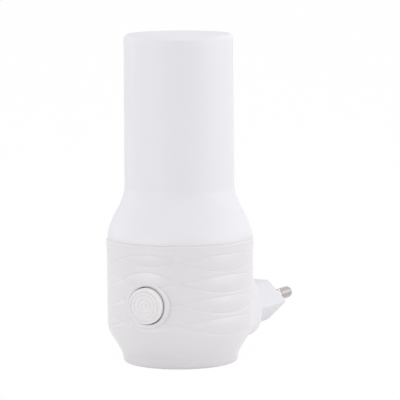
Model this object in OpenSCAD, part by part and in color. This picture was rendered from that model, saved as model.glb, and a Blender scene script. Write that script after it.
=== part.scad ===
// Plug-in night light: an opal tube snapped into a round base housing, with a push button
// in front and a two-pin flat plug behind. It stands on its foot when it isn't plugged in.
// The lamp's axis is Z, the foot's underside is z = 0, the button faces -Y and the plug +Y.
// All sizes are in millimetres.

/* [Base housing] */
// Radius of the base housing's straight wall
base_r = 23.95; // [23:0.05:26]
// Height of the base housing, up to its seam with the diffuser
base_h = 40.9; // [39.5:0.1:48]
// Wall thickness of the base housing
base_wall = 1.8; // [1.4:0.1:2.2]
// Thickness of the base housing's floor
floor_t = 2.0; // [1.4:0.1:3]
// How far the rim stands out past the straight wall
rim_flare = 0.2; // [0.05:0.05:0.5]
// Height over which the wall flares out to the rim
rim_flare_h = 6; // [4:0.5:8]
// Height of the straight band at the rim
rim_band_h = 2; // [1:0.5:3]
// Chamfer on the rim's outer edge
rim_chamfer = 0.35; // [0.15:0.05:0.6]
// Radius of the foot where the cone begins
foot_r = 19.15; // [18:0.05:20]
// Height of the foot
foot_h = 3.1; // [2.4:0.1:4]
// How much the foot's wall leans in
foot_lean = 0.3; // [0.1:0.1:0.8]
// Rounding of the foot's bottom edge
foot_round = 0.8; // [0.4:0.1:1.2]
// Angle of the lower cone, from the vertical
cone_angle = 31; // [27:1:36]
// Rounding between the straight wall and the cone
shoulder_round = 6; // [3:0.5:8]
// Depth of the rebate that takes the tray and the diffuser's skirt
rebate_depth = 5.1; // [4.6:0.1:6]
// Wall left outside the rebate
rebate_wall = 1.05; // [0.95:0.05:1.2]

/* [Plug boss] */
// Width of the boss's rim beside the plug body
boss_rim_w = 0.66; // [0.6:0.02:1.2]
// How far the boss's face stands out past the housing's wall
boss_proud = 2.05; // [1:0.05:4]
// Rounding of the boss's rim
boss_round = 0.8; // [0.4:0.1:1]
// Height of the boss's underside
boss_under_z = 4.7; // [4:0.1:5]
// Rounding along the boss's lower edge
boss_under_round = 7.5; // [7:0.1:8.5]
// Depth of the pocket that holds the plug body's root
pocket_depth = 3; // [2:0.1:4]
// Thickness of the seat wall behind the pocket
seat_t = 1.8; // [1.2:0.1:2.4]
// Rounding inside the boss
boss_inner_round = 0.5; // [0.3:0.1:0.8]

/* [Diffuser] */
// Height of the whole lamp
lamp_h = 107.6; // [95:0.1:125]
// Wall thickness of the diffuser
diffuser_wall = 1.3; // [0.9:0.1:1.6]
// How far the diffuser's foot stays inside the base's rim
seam_step = 0.35; // [0.2:0.05:0.6]
// Chamfer under the diffuser's foot
seam_chamfer = 0.2; // [0.1:0.05:0.3]
// Height of the bell-shaped flare
flare_h = 17.2; // [14:0.1:22]
// Radius of the tube just above the flare
tube_r = 18; // [16:0.05:20]
// How much the tube narrows towards its top
tube_draft = 0.2; // [0:0.05:0.6]
// Rounding of the tube's top edge
top_round = 1.4; // [0.6:0.1:1.6]
// Radius of the snap bead on the skirt
bead_r = 0.25; // [0.15:0.05:0.3]
// Distance from the seam down to the snap bead
bead_drop = 1.7; // [1.4:0.1:2.2]
// How far the skirt reaches up inside the diffuser's foot
skirt_overlap = 1.2; // [1:0.1:1.6]

/* [Button] */
// Height of the button's centre above the foot
button_z = 21.45; // [20:0.05:24]
// Radius of the button's cap
button_r = 5.9; // [5:0.1:6.4]
// How far the cap stands out of the bezel
button_proud = 1.8; // [1.5:0.1:2.4]
// How far the button travels when it is pressed
button_travel = 1.6; // [1:0.1:1.8]
// Rounding of the cap's edge
button_round = 0.7; // [0.3:0.1:1]
// Wall thickness of the cap
button_wall = 1.2; // [0.9:0.1:1.4]
// Radius of the first ring groove on the cap
ring_first_r = 1.0; // [0.8:0.1:1.4]
// Spacing of the ring grooves
ring_pitch = 1.3; // [1:0.1:1.5]
// Number of ring grooves
ring_count = 4; // [1:1:4]
// Radius of a ring groove's section
ring_groove_r = 0.22; // [0.1:0.02:0.3]
// Width of the bezel around the button's hole
bezel_w = 1.4; // [1:0.1:2]
// How far the bezel stands out of the housing's wall
bezel_proud = 0.2; // [0.1:0.05:0.6]
// Rounding of the bezel's outer edge
bezel_round = 0.4; // [0.1:0.1:0.6]
// Length of the bezel's collar, from its face inwards
collar_l = 4.6; // [4:0.1:5]
// How far the button's flange reaches past the cap
flange_w = 1.3; // [1:0.1:1.6]
// Thickness of the button's flange
flange_t = 1.0; // [0.6:0.1:1.4]
// Chamfer around the button's hole
hole_chamfer = 0.2; // [0.1:0.05:0.3]
// Wall around the square socket for the switch's stem
socket_wall = 0.6; // [0.4:0.1:1]
// How far this socket stands out behind the flange
socket_lip = 0.4; // [0.2:0.1:0.6]

/* [Switch] */
// Width and height of the switch's body
switch_w = 8.5; // [8:0.1:9.5]
// Room for the spring when the button is pressed in
spring_pressed_l = 3.2; // [2.6:0.1:3.6]
// Room between the button and the switch when the button is pressed in
switch_room = 2.15; // [1.5:0.05:2.5]
// Wall thickness of the switch's body
switch_wall = 1.0; // [0.8:0.1:1.2]
// Width of the plunger's square stem
stem_w = 3.0; // [2.6:0.1:3.4]
// Width of the plunger's head inside the switch
head_w = 5.4; // [5:0.1:5.6]
// Thickness of the plunger's head
head_t = 2.2; // [1.6:0.1:2.6]
// Mean radius of the switch's spring
spring_r = 1.9; // [1.6:0.1:2]
// Radius of the spring's wire
spring_wire_r = 0.2; // [0.15:0.01:0.22]
// Number of turns of the spring
spring_turns = 4; // [3:1:5]
// Radius of the switch's terminal pins
terminal_r = 0.35; // [0.25:0.05:0.4]
// Spacing of the terminal pins along a row
terminal_pitch = 2.2; // [2:0.1:2.5]
// Distance between the two rows of terminal pins
terminal_row = 4.5; // [4:0.1:5]

/* [Plug] */
// Width of the plug body's section, from vertex to vertex
plug_w = 35.3; // [34.6:0.1:35.6]
// Thickness of the plug body's section
plug_t = 13.7; // [13:0.1:14]
// Height of the plug's axis above the foot
plug_z = 14.1; // [13.8:0.1:15]
// How far the plug body stands out of the boss's face
plug_proud = 20; // [17.5:0.1:22]
// Rounding of the plug body's side vertices
plug_vertex_round = 1; // [0.8:0.1:1.6]
// Edge bevel on the plug body's front face
plug_bevel = 0.8; // [0.4:0.1:1.2]
// Distance between the two pins
pin_spacing = 19; // [18:0.1:19.2]
// Radius of a pin's bare tip
pin_r = 2.0; // [1.97:0.01:2.03]
// Length of a pin in front of the plug body
pin_l = 19; // [18.5:0.1:19.5]
// Length of the bare tip
pin_bare_l = 9; // [8:0.1:10]
// Radius of the pin's core under its sleeve
pin_core_r = 1.45; // [1.2:0.05:1.5]
// Radius of the insulating sleeve
sleeve_r = 1.84; // [1.7:0.01:1.84]
// How deep the sleeve is set in the plug body
sleeve_root = 2; // [1:0.1:3]
// Length of the pin's tail behind the plug body
tail_l = 5.8; // [4.8:0.1:6.5]
// Radius of the collars that locate the plug body in its seat
locator_r = 3.0; // [2.4:0.1:3.4]
// Height of these collars
locator_h = 2.6; // [2:0.1:3]
// Distance between the two screws that hold the plug body
plug_screw_spacing = 7.6; // [7:0.1:8]

/* [Screws] */
// Radius of a screw's head
screw_head_r = 1.9; // [1.6:0.05:2]
// Height of a screw's head
screw_head_h = 1.3; // [1:0.1:1.6]
// Radius of a screw's shank
screw_r = 1.05; // [0.9:0.05:1.1]
// Length of a screw's shank
screw_l = 6; // [5:0.1:7]
// Depth of the cross in a screw's head
cross_depth = 0.7; // [0.4:0.1:0.8]
// Width of the cross's slots
cross_w = 0.5; // [0.4:0.05:0.6]
// Length of the cross's slots
cross_l = 2.5; // [1.8:0.1:2.8]
// Rounding of a screw's head
screw_head_round = 0.6; // [0.3:0.1:0.8]
// Radius of a screw's tip
screw_tip_r = 0.3; // [0.2:0.05:0.4]
// Length of the light board's screws
led_screw_l = 4; // [3:0.1:4.5]
// Room under a screw's tip in its hole
tip_room = 1.2; // [0.4:0.1:2]

/* [Light tray] */
// Thickness of the light tray
tray_t = 1.2; // [1:0.1:1.5]
// Room between the tray's screw heads and the diffuser's skirt
screw_head_room = 0.95; // [0.4:0.05:1.4]
// Radius of the posts that hold the tray
post_r = 2.4; // [2.2:0.1:2.8]
// Thickness of the webs between these posts and the wall
web_t = 2; // [1.2:0.1:2.4]
// How far these webs stay below the tray
web_drop = 1; // [0.5:0.1:2]
// Floor under the holes for the light board's screws
led_boss_floor = 0.8; // [0.5:0.1:1.2]
// Width of the fingers that hold the driver board's top edge
finger_w = 4; // [3:0.5:5]
// Thickness of these fingers
finger_t = 1.1; // [0.8:0.1:1.4]
// Length of these fingers
finger_l = 2.6; // [2:0.1:3]
// Distance from the lamp's axis to the hole for the lamp wires
wire_hole_y = 17.4; // [17:0.1:17.6]
// Radius of the hole for the lamp wires
wire_hole_r = 2.2; // [1.8:0.1:2.3]

/* [Light board] */
// Radius of the light board
led_board_r = 14.6; // [14:0.1:15]
// Thickness of the light board
led_board_t = 1.0; // [0.8:0.1:1.6]
// Distance from the lamp's axis to the light board's screws
led_screw_reach = 11.5; // [11:0.1:12]
// How far these screws are turned back from the lamp's side
led_screw_angle = 20; // [10:5:30]
// Number of light-emitting diodes
led_count = 6; // [1:1:6]
// Radius of the ring of diodes
led_ring_r = 6.5; // [6:0.1:7]
// Length of a diode's package
led_l = 3.5; // [3:0.1:3.6]
// Width of a diode's package
led_w = 2.8; // [2.4:0.1:3]
// Height of a diode's package
led_h = 0.8; // [0.6:0.1:1]
// Radius of a diode's window
led_window_r = 1.1; // [0.8:0.1:1.2]
// Depth of a diode's window
led_window_depth = 0.15; // [0.1:0.05:0.3]

/* [Driver board] */
// Width of the driver board
board_w = 31; // [30:0.1:31.5]
// Thickness of the driver board
board_t = 1.6; // [1.4:0.1:1.8]
// Height of the slot's floor under the driver board
board_foot_z = 4; // [3.8:0.1:5]
// Thickness of the ribs that guide the driver board
rib_t = 1.1; // [0.8:0.1:1.4]
// How far the ribs reach over the driver board's edge
rib_overlap = 0.9; // [0.6:0.1:1.4]
// Bare board above and below the parts on it
parts_margin = 3.4; // [2.5:0.1:4]
// Width of the film capacitor
film_cap_w = 10; // [9:0.1:10.4]
// Thickness of the film capacitor
film_cap_t = 6; // [5:0.1:6.4]
// Height of the film capacitor off the board
film_cap_h = 11; // [9:0.1:12]
// Radius of the electrolytic capacitor
can_r = 4; // [3:0.1:4]
// Length of the electrolytic capacitor
can_l = 12; // [10:0.1:13]
// Length of the bridge rectifier
bridge_l = 8.2; // [7.5:0.1:8.5]
// Width of the bridge rectifier
bridge_w = 6.4; // [5.5:0.1:6.6]
// Height of the bridge rectifier
bridge_h = 3.2; // [2.6:0.1:3.6]
// Radius of the fuse resistor
fuse_r = 1.6; // [1.2:0.1:1.8]
// Length of the fuse resistor
fuse_l = 8; // [7:0.1:8.5]
// Radius of a small resistor
resistor_r = 1.15; // [0.9:0.05:1.3]
// Length of a small resistor
resistor_l = 5.2; // [4.5:0.1:5.8]
// Radius of the parts' leads
lead_r = 0.3; // [0.2:0.05:0.35]
// How far the leads come out in front of the board
lead_stub = 1.2; // [0.8:0.1:1.6]
// Distance from a resistor's end to where its lead is bent
lead_bend = 1; // [0.8:0.1:1.2]
// Room between the resistors' leads and the switch's side
lead_room = 0.4; // [0.3:0.1:1]
// Room between the film capacitor and the board's rib
film_cap_room = 0.4; // [0.2:0.1:1]
// Straight length of a mains wire behind its pin
wire_lead_l = 2.2; // [1.5:0.1:2.5]

/* [Wires] */
// Radius of the mains wires
mains_wire_r = 0.8; // [0.6:0.1:1]
// Radius of the lamp wires
lamp_wire_r = 0.5; // [0.4:0.05:0.6]

/* [Fits] */
// Gap between the diffuser's skirt, the tray and the rebate's wall
skirt_gap = 0.15; // [0.1:0.05:0.25]
// Gap between the tray and what lies above and below it
tray_gap = 0.2; // [0.1:0.05:0.3]
// Gap around the button's cap
button_gap = 0.3; // [0.2:0.05:0.4]
// Gap in front of the button's flange and the plunger's head at rest
stop_gap = 0.2; // [0.1:0.05:0.3]
// Gap around the plunger's stem in the switch
stem_gap = 0.2; // [0.1:0.05:0.3]
// Gap around the plug body in its pocket
pocket_gap = 0.1; // [0.05:0.01:0.15]
// Gap around the locating collars
locator_gap = 0.15; // [0.1:0.05:0.3]
// Gap between the driver board and its ribs
board_gap = 0.1; // [0.05:0.05:0.2]
// Gap around a screw or a lead in its hole
hole_gap = 0.12; // [0.05:0.01:0.2]

/* [Hidden] */
$fn = 96;

// Colours of the materials
white_shell = [0.93, 0.92, 0.92];
opal = [0.93, 0.92, 0.95];
plug_white = [0.90, 0.89, 0.93];
bright_metal = [0.75, 0.74, 0.72];
steel = [0.62, 0.62, 0.63];
board_green = [0.12, 0.36, 0.20];
part_black = [0.08, 0.08, 0.09];

// A little extra length where one solid joins another
over = 0.01;
// How far a cutting solid goes past the face that it cuts
past = 1;

// Base housing
rim_r = base_r + rim_flare;
cone_slope = tan(cone_angle);
corner_z = foot_h + (base_r - foot_r) / cone_slope;
shoulder_z = corner_z + shoulder_round * tan(cone_angle / 2);
rebate_r = rim_r - rebate_wall - rim_flare;
ledge_z = base_h - rebate_depth;

// Plug boss: its cone leaves the housing's wall as a tangent
plug_half_w = plug_w / 2 - plug_vertex_round * (sqrt(2) - 1);
boss_r = plug_half_w + boss_rim_w;
boss_reach = base_r + boss_proud;
boss_flare = atan2(boss_reach, boss_r) - acos(base_r / norm([boss_r, boss_reach]));
boss_outer_r = norm([boss_r, boss_reach]);
seat_y = boss_reach - pocket_depth;
seat_back_y = seat_y - seat_t;

// Diffuser
seam_r = rim_r - seam_step;
skirt_r = rebate_r - skirt_gap;
tray_top_z = ledge_z + tray_t;
skirt_bottom_z = tray_top_z + tray_gap;
bead_z = base_h - bead_drop;

// Button: places along Y are measured from the lamp's axis, in front of it
bezel_face = base_r + bezel_proud;
hole_r = button_r + button_gap;
bezel_r = hole_r + bezel_w;
collar_end = bezel_face - collar_l;
button_face = bezel_face + button_proud;
flange_front = collar_end - stop_gap;
flange_back = flange_front - flange_t;
flange_r = button_r + flange_w;
socket_r = stem_w / 2 * sqrt(2) + socket_wall;
socket_back = flange_back - socket_lip;

// Switch, which stands on the driver board's front face
switch_d = 2 * switch_wall + stop_gap + head_t + button_travel + spring_pressed_l;
switch_front = socket_back - button_travel - switch_room;
switch_back = switch_front - switch_d;
board_front = switch_back;
head_front = switch_front - switch_wall - stop_gap;
head_back = head_front - head_t;
cavity_back = switch_back + switch_wall;
cavity_w = switch_w - 2 * switch_wall;
stem_front = button_face - button_wall - stem_gap;

// Plug
plug_front = boss_reach + plug_proud;
pin_tip = plug_front + pin_l;
bare_start = pin_tip - pin_bare_l;
tail_back = seat_y - tail_l;
pin_x = pin_spacing / 2;
pin_chamfer = 0.1;

// Driver board
board_back = board_front - board_t;
board_top_z = ledge_z - tray_gap;
slot_w = board_t + 2 * board_gap;

// Parts on the driver board: one column beside the other, in evenly spaced rows
film_cap_x = -board_w / 2 + rib_overlap + film_cap_room + film_cap_w / 2;
resistor_reach = resistor_l / 2 + lead_bend;
resistor_x = -switch_w / 2 - lead_room - lead_r - resistor_reach;
fuse_reach = fuse_l / 2 + lead_bend;
fuse_x = -7.6;
right_x = 7.6;
parts_low_z = board_foot_z + parts_margin;
parts_high_z = ledge_z - finger_l - parts_margin;
row_gap = (parts_high_z - parts_low_z - film_cap_t - 4 * resistor_r - 2 * fuse_r) / 3;
first_resistor_z = parts_high_z - film_cap_t - row_gap - resistor_r;

// Places of the parts, as [x, z]
film_cap_at = [film_cap_x, parts_high_z - film_cap_t / 2];
can_at = [right_x, parts_high_z - can_r];
bridge_at = [right_x, parts_high_z - 2 * can_r - row_gap - bridge_w / 2];
fuse_at = [fuse_x, parts_low_z + fuse_r];
resistor_at = [for (i = [0, 1]) [resistor_x, first_resistor_z - i * (2 * resistor_r + row_gap)]];

// Spacing of the parts' leads
film_lead_pitch = 7.5;
can_lead_pitch = 3.5;
bridge_lead_pitch = 5.1;
bridge_row_pitch = 4.6;

// Where leads go through the driver board, as [x, z]
lead_holes = concat(
    [for (s = [-1, 1]) film_cap_at + [s * film_lead_pitch / 2, 0]],
    [for (s = [-1, 1]) can_at + [s * can_lead_pitch / 2, 0]],
    [for (s = [-1, 1]) for (t = [-1, 1]) bridge_at + [s * bridge_lead_pitch, t * bridge_row_pitch] / 2],
    [for (s = [-1, 1]) fuse_at + [s * fuse_reach, 0]],
    [for (p = resistor_at) for (s = [-1, 1]) p + [s * resistor_reach, 0]]
);

// Places of the tray's posts, as [x, y]
post_reach = skirt_r - diffuser_wall - screw_head_r - screw_head_room;
posts = [for (s = [-1, 1]) [s * post_reach, -post_reach] / sqrt(2)];

// Light board's screws, as [x, y]
led_screws = [for (a = [led_screw_angle, 180 - led_screw_angle]) led_screw_reach * [cos(a), sin(a)]];
led_board_top_z = tray_top_z + led_board_t;
led_pilot_z = led_board_top_z - led_screw_l - tip_room;

// The mains wires' routes, chosen by hand between the pins' tails and the driver board
wire_bend_y = tail_back - wire_lead_l;
live_route = [[pin_x, tail_back, plug_z], [pin_x, wire_bend_y, plug_z], [9.8, 11.4, 12.6],
    [10.6, 8, 10.4], [11.2, 4, 8.4], [11.4, 0, 7.8], [11.4, -board_back, 7.8]];
neutral_route = [[-pin_x, tail_back, plug_z], [-pin_x, wire_bend_y, plug_z], [-9.8, 11.4, 12.6],
    [-10.6, 8.6, 10.4], [-11.6, 5.6, 7.6], [-12, 2, 6], [-12, -board_back, 5.8]];

// The positive lamp wire's route, chosen by hand as [x, y, height above the tray]
lamp_wire_points = [[2, -board_back, -3.8], [2, 0, -3.8], [1.8, 5, -4], [1.4, 10, -4],
    [1.1, 14.6, -3.6], [1, 17, -2], [1, 17.6, 0.4], [1, 16.8, 2.4], [1, 14.8, 3],
    [1, 13.2, 2.4], [1, 12.8, led_board_t]];
positive_route = [for (p = lamp_wire_points) p + [0, 0, tray_top_z]];
negative_route = [for (p = positive_route) [-p[0], p[1], p[2]]];

// Points along an arc, as [r, z]
function arc_points(centre, r, from, to, steps) =
    [for (i = [0:steps]) let (a = from + (to - from) * i / steps) centre + r * [cos(a), sin(a)]];

// Outline of the base housing from its floor to its rim, moved in by inset
function base_outline(inset) = concat(
    [[0, 0]],
    arc_points([foot_r - foot_lean - foot_round - inset, foot_round], foot_round, -90, 0, 6),
    [[foot_r - inset, foot_h]],
    arc_points([base_r - shoulder_round - inset, shoulder_z], shoulder_round, -cone_angle, 0, 10),
    [for (i = [0:6]) [base_r + rim_flare * (0.5 - 0.5 * cos(30 * i)) - inset,
        base_h - rim_flare_h + (rim_flare_h - rim_band_h) * i / 6]],
    [[rim_r - inset, base_h - rim_chamfer], [rim_r - rim_chamfer - inset, base_h], [0, base_h]]
);

// Outline of the diffuser above the seam, moved in by inset
function diffuser_outline(inset) = concat(
    [[0, base_h], [seam_r - seam_chamfer - inset, base_h]],
    [for (i = [1:28]) [tube_r + (seam_r - tube_r) * (0.5 + 0.5 * cos(180 * i / 28)) - inset,
        base_h + flare_h * i / 28]],
    arc_points([tube_r - tube_draft - top_round, lamp_h - top_round],
        max(top_round - inset, 0.1), 0, 90, 8),
    [[0, lamp_h - inset]]
);

// Section of the plug body: a flat hexagon with 45 degree sides and rounded side vertices
function plug_section(grow) = let (
        half_t = plug_t / 2 + grow,
        half_w = plug_w / 2 + grow * sqrt(2),
        round_x = half_w - plug_vertex_round * sqrt(2)
    ) concat(
        arc_points([round_x, 0], plug_vertex_round, -45, 45, 6),
        [[half_w - half_t, half_t], [half_t - half_w, half_t]],
        arc_points([-round_x, 0], plug_vertex_round, 135, 225, 6),
        [[half_t - half_w, -half_t], [half_w - half_t, -half_t]]
    );

// Puts a shape that is drawn along +Z on a line along +Y, at height z
module along_y(y, z) {
    translate([0, y, z])
        rotate([-90, 0, 0])
            children();
}

// Puts a shape that is drawn along +Z on a line along -Y, at height z
module along_front(y, z) {
    translate([0, -y, z])
        rotate([90, 0, 0])
            children();
}

// A round bar from one height to another
module bar(r, from, to) {
    translate([0, 0, from])
        cylinder(r = r, h = to - from);
}

// A box that is centred in x and y
module post_box(w, d, from, to) {
    translate([-w / 2, -d / 2, from])
        cube([w, d, to - from]);
}

// A pan-head screw: its head sits on z = 0 and its shank goes down
module screw(shank_l = screw_l) {
    difference() {
        union() {
            rotate_extrude()
                polygon(concat(
                    [[0, 0], [screw_head_r, 0]],
                    arc_points([screw_head_r - screw_head_round, screw_head_h - screw_head_round],
                        screw_head_round, 0, 90, 5),
                    [[0, screw_head_h]]
                ));
            bar(screw_r, -shank_l + screw_r, over);
            translate([0, 0, -shank_l])
                cylinder(r1 = screw_tip_r, r2 = screw_r, h = screw_r + over);
        }
        for (a = [0, 90])
            rotate([0, 0, a])
                post_box(cross_l, cross_w, screw_head_h - cross_depth, screw_head_h + past);
    }
}

// Rings of a tube that follows a route; the route's points are joined by a smooth curve
function unit(v) = v / norm(v);
function curve_point(p, i, t) = let (
        a = i > 0 ? p[i - 1] : p[0] * 2 - p[1],
        b = p[i],
        c = p[i + 1],
        d = i + 2 < len(p) ? p[i + 2] : p[i + 1] * 2 - p[i]
    ) (b * 2 + (c - a) * t + (a * 2 - b * 5 + c * 4 - d) * t * t
        + (b * 3 - a - c * 3 + d) * t * t * t) / 2;
function smooth_route(p, steps) = concat(
    [for (i = [0:len(p) - 2]) for (k = [0:steps - 1]) curve_point(p, i, k / steps)],
    [p[len(p) - 1]]
);
function route_direction(p, i) = i == 0 ? unit(p[1] - p[0])
    : i == len(p) - 1 ? unit(p[i] - p[i - 1])
    : unit(p[i + 1] - p[i - 1]);

// A closed tube with eight sides along a list of points; side is never along the route
module tube_along(points, r, side) {
    sides = 8;
    rings = len(points);
    corners = [for (i = [0:rings - 1]) let (
            u = route_direction(points, i),
            v = unit(cross(u, side)),
            w = cross(u, v)
        ) for (k = [0:sides - 1]) points[i] + r * (cos(45 * k) * v + sin(45 * k) * w)];
    walls = [for (i = [0:rings - 2]) for (k = [0:sides - 1]) let (
            a = i * sides + k,
            b = i * sides + (k + 1) % sides
        ) [a, b, b + sides, a + sides]];
    ends = [[for (k = [sides - 1:-1:0]) k], [for (k = [0:sides - 1]) (rings - 1) * sides + k]];
    outward = [for (f = concat(walls, ends)) [for (i = [len(f) - 1:-1:0]) f[i]]];
    polyhedron(points = corners, faces = outward, convexity = 6);
}

// The space inside the base housing's walls
module base_cavity() {
    rotate_extrude()
        intersection() {
            polygon(base_outline(base_wall));
            translate([0, floor_t])
                square([base_r, base_h]);
        }
}

// The boss as a cone about the plug's axis, moved in by inset, up to the distance end
module boss_cone(inset, end, edge) {
    slope = tan(boss_flare);
    slant_inset = inset / cos(boss_flare);
    root_r = boss_r + boss_reach * slope - slant_inset;
    end_r = boss_r + (boss_reach - end) * slope - slant_inset;
    along_y(0, plug_z)
        rotate_extrude()
            polygon(concat(
                [[0, 0], [root_r, 0]],
                arc_points([end_r - edge * (1 - slope), end - edge], edge, boss_flare, 90, 6),
                [[0, end]]
            ));
}

// What bounds the boss from below, moved in by inset
module boss_underside(inset) {
    round_r = boss_under_round - inset;
    rotate_extrude()
        polygon(concat(
            [[0, boss_under_z + inset]],
            arc_points([boss_outer_r - boss_under_round, boss_under_z + boss_under_round],
                round_r, -90, 0, 10),
            [[boss_outer_r - inset, base_h], [0, base_h]]
        ));
}

// What bounds the boss at its sides: the housing's own outline, drawn out along +Y
module boss_sides(inset) {
    translate([0, boss_reach + past, 0])
        rotate([90, 0, 0])
            linear_extrude(height = boss_reach + past)
                for (m = [0, 1])
                    mirror([m, 0])
                        polygon(base_outline(inset));
}

// The boss, moved in by inset, up to the distance end
module boss(inset, end, edge) {
    intersection() {
        boss_cone(inset, end, edge);
        boss_underside(inset);
        boss_sides(inset);
    }
}

// The bezel and its collar, along +Z from the collar's end to the bezel's face
module bezel_ring() {
    rotate_extrude()
        polygon(concat(
            [[hole_r, 0], [bezel_r, 0]],
            arc_points([bezel_r - bezel_round, collar_l - bezel_round], bezel_round, 0, 90, 5),
            [[hole_r + hole_chamfer, collar_l], [hole_r, collar_l - hole_chamfer]]
        ));
}

// Ribs that form the driver board's slots
module board_ribs() {
    intersection() {
        base_cavity();
        difference() {
            for (s = [-1, 1])
                translate([s * (board_w / 2 - rib_overlap + base_r), -board_front + board_t / 2, 0])
                    post_box(2 * base_r, slot_w + 2 * rib_t, 0, ledge_z - tray_gap);
            translate([0, -board_front + board_t / 2, 0])
                post_box(board_w + 2 * board_gap, slot_w, board_foot_z, base_h);
        }
    }
}

// Posts that carry the light tray, joined to the wall by webs
module tray_posts() {
    intersection() {
        base_cavity();
        union() {
            for (p = posts) {
                translate(p)
                    bar(post_r, 0, ledge_z);
                rotate([0, 0, atan2(p[1], p[0])])
                    translate([post_reach, -web_t / 2, 0])
                        cube([base_r - post_reach, web_t, ledge_z - web_drop]);
            }
        }
    }
}

module base_housing() {
    color(white_shell)
    difference() {
        union() {
            difference() {
                union() {
                    rotate_extrude()
                        polygon(base_outline(0));
                    boss(0, boss_reach, boss_round);
                    along_front(collar_end, button_z)
                        bar(bezel_r - bezel_round, 0, collar_l - bezel_round);
                }
                base_cavity();
                bar(rebate_r, ledge_z, base_h + past);
                boss(base_wall, seat_back_y, boss_inner_round);
            }
            along_front(collar_end, button_z)
                bezel_ring();
            board_ribs();
            tray_posts();
        }
        // Hole for the button
        along_front(collar_end - past, button_z)
            bar(hole_r, 0, collar_l + 2 * past);
        // Groove for the diffuser's snap bead
        rotate_extrude()
            translate([rebate_r, bead_z])
                circle(r = bead_r + skirt_gap, $fn = 24);
        // Pocket for the plug body's root
        along_y(seat_y, plug_z)
            linear_extrude(height = pocket_depth + past)
                polygon(plug_section(pocket_gap));
        // Holes for the plug body's locating collars and screws
        for (s = [-1, 1]) {
            translate([s * pin_x, 0, 0])
                along_y(seat_back_y - past, plug_z)
                    bar(locator_r + locator_gap, 0, seat_t + 2 * past);
            along_y(seat_back_y - past, plug_z + s * plug_screw_spacing / 2)
                bar(screw_r + hole_gap, 0, seat_t + 2 * past);
        }
        // Pilot holes for the tray's screws
        for (p = posts)
            translate(p)
                bar(screw_r, tray_top_z - screw_l - tip_room, ledge_z + past);
    }
}

module diffuser() {
    color(opal)
    difference() {
        union() {
            rotate_extrude()
                polygon(diffuser_outline(0));
            bar(skirt_r, skirt_bottom_z, base_h + skirt_overlap);
            rotate_extrude()
                translate([skirt_r, bead_z])
                    circle(r = bead_r, $fn = 24);
        }
        difference() {
            rotate_extrude()
                polygon(diffuser_outline(diffuser_wall));
            bar(skirt_r + past, base_h - past, base_h + skirt_overlap);
        }
        bar(skirt_r - diffuser_wall, skirt_bottom_z - past, base_h + skirt_overlap + over);
    }
}

module push_button() {
    cap_l = button_face - flange_back;
    color(white_shell)
    along_front(flange_back, button_z)
        difference() {
            union() {
                difference() {
                    rotate_extrude()
                        polygon(concat(
                            [[0, 0], [flange_r, 0], [flange_r, flange_t], [button_r, flange_t]],
                            arc_points([button_r - button_round, cap_l - button_round],
                                button_round, 0, 90, 6),
                            [[0, cap_l]]
                        ));
                    bar(button_r - button_wall, -past, cap_l - button_wall);
                }
                bar(socket_r, flange_back - socket_back, cap_l - button_wall + over);
            }
            // Square socket for the switch's stem
            post_box(stem_w, stem_w, -past, stem_front - flange_back);
            // Ring grooves on the face
            for (i = [0:ring_count - 1])
                rotate_extrude()
                    translate([ring_first_r + ring_pitch * i, cap_l])
                        circle(r = ring_groove_r, $fn = 24);
        }
}

module switch_body() {
    color(part_black)
    along_front(switch_back, button_z)
        difference() {
            post_box(switch_w, switch_w, 0, switch_d);
            post_box(cavity_w, cavity_w, switch_wall, switch_d - switch_wall);
            post_box(stem_w + 2 * stem_gap, stem_w + 2 * stem_gap, switch_wall, switch_d + past);
        }
}

module switch_plunger() {
    color(white_shell)
    along_front(0, button_z) {
        post_box(stem_w, stem_w, head_front - over, stem_front);
        post_box(head_w, head_w, head_back, head_front);
    }
}

module switch_spring() {
    steps = 12;
    seat_gap = 0.02;
    from = cavity_back + spring_wire_r + seat_gap;
    to = head_back - spring_wire_r - seat_gap;
    turns = [for (i = [0:spring_turns * steps]) let (a = 360 * i / steps)
        [spring_r * cos(a), -from - (to - from) * i / (spring_turns * steps),
            button_z + spring_r * sin(a)]];
    color(steel)
    tube_along(turns, spring_wire_r, [0, 1, 0]);
}

module switch_terminals() {
    color(bright_metal)
    for (s = [-1, 1])
        for (k = [-1:1])
            translate([s * terminal_row / 2, 0, k * terminal_pitch])
                along_y(-switch_back, button_z)
                    bar(terminal_r, 0, board_t + lead_stub);
}

module plug_body() {
    bevel_in = plug_bevel * 0.6;
    color(plug_white)
    difference() {
        union() {
            along_y(seat_y, plug_z)
                linear_extrude(height = plug_front - seat_y - plug_bevel)
                    polygon(plug_section(0));
            hull() {
                along_y(plug_front - plug_bevel - over, plug_z)
                    linear_extrude(height = over)
                        polygon(plug_section(0));
                along_y(plug_front - over, plug_z)
                    linear_extrude(height = over)
                        polygon(plug_section(-bevel_in));
            }
            for (s = [-1, 1])
                translate([s * pin_x, 0, 0])
                    along_y(seat_y - locator_h, plug_z)
                        bar(locator_r, 0, locator_h + over);
        }
        for (s = [-1, 1]) {
            translate([s * pin_x, 0, 0]) {
                along_y(seat_y - locator_h - past, plug_z)
                    bar(pin_core_r, 0, plug_front - seat_y + locator_h + 2 * past);
                along_y(plug_front - sleeve_root, plug_z)
                    bar(sleeve_r, 0, sleeve_root + past);
            }
            along_y(seat_y - past, plug_z + s * plug_screw_spacing / 2)
                bar(screw_r, 0, screw_l - seat_t + tip_room + past);
        }
    }
}

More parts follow.
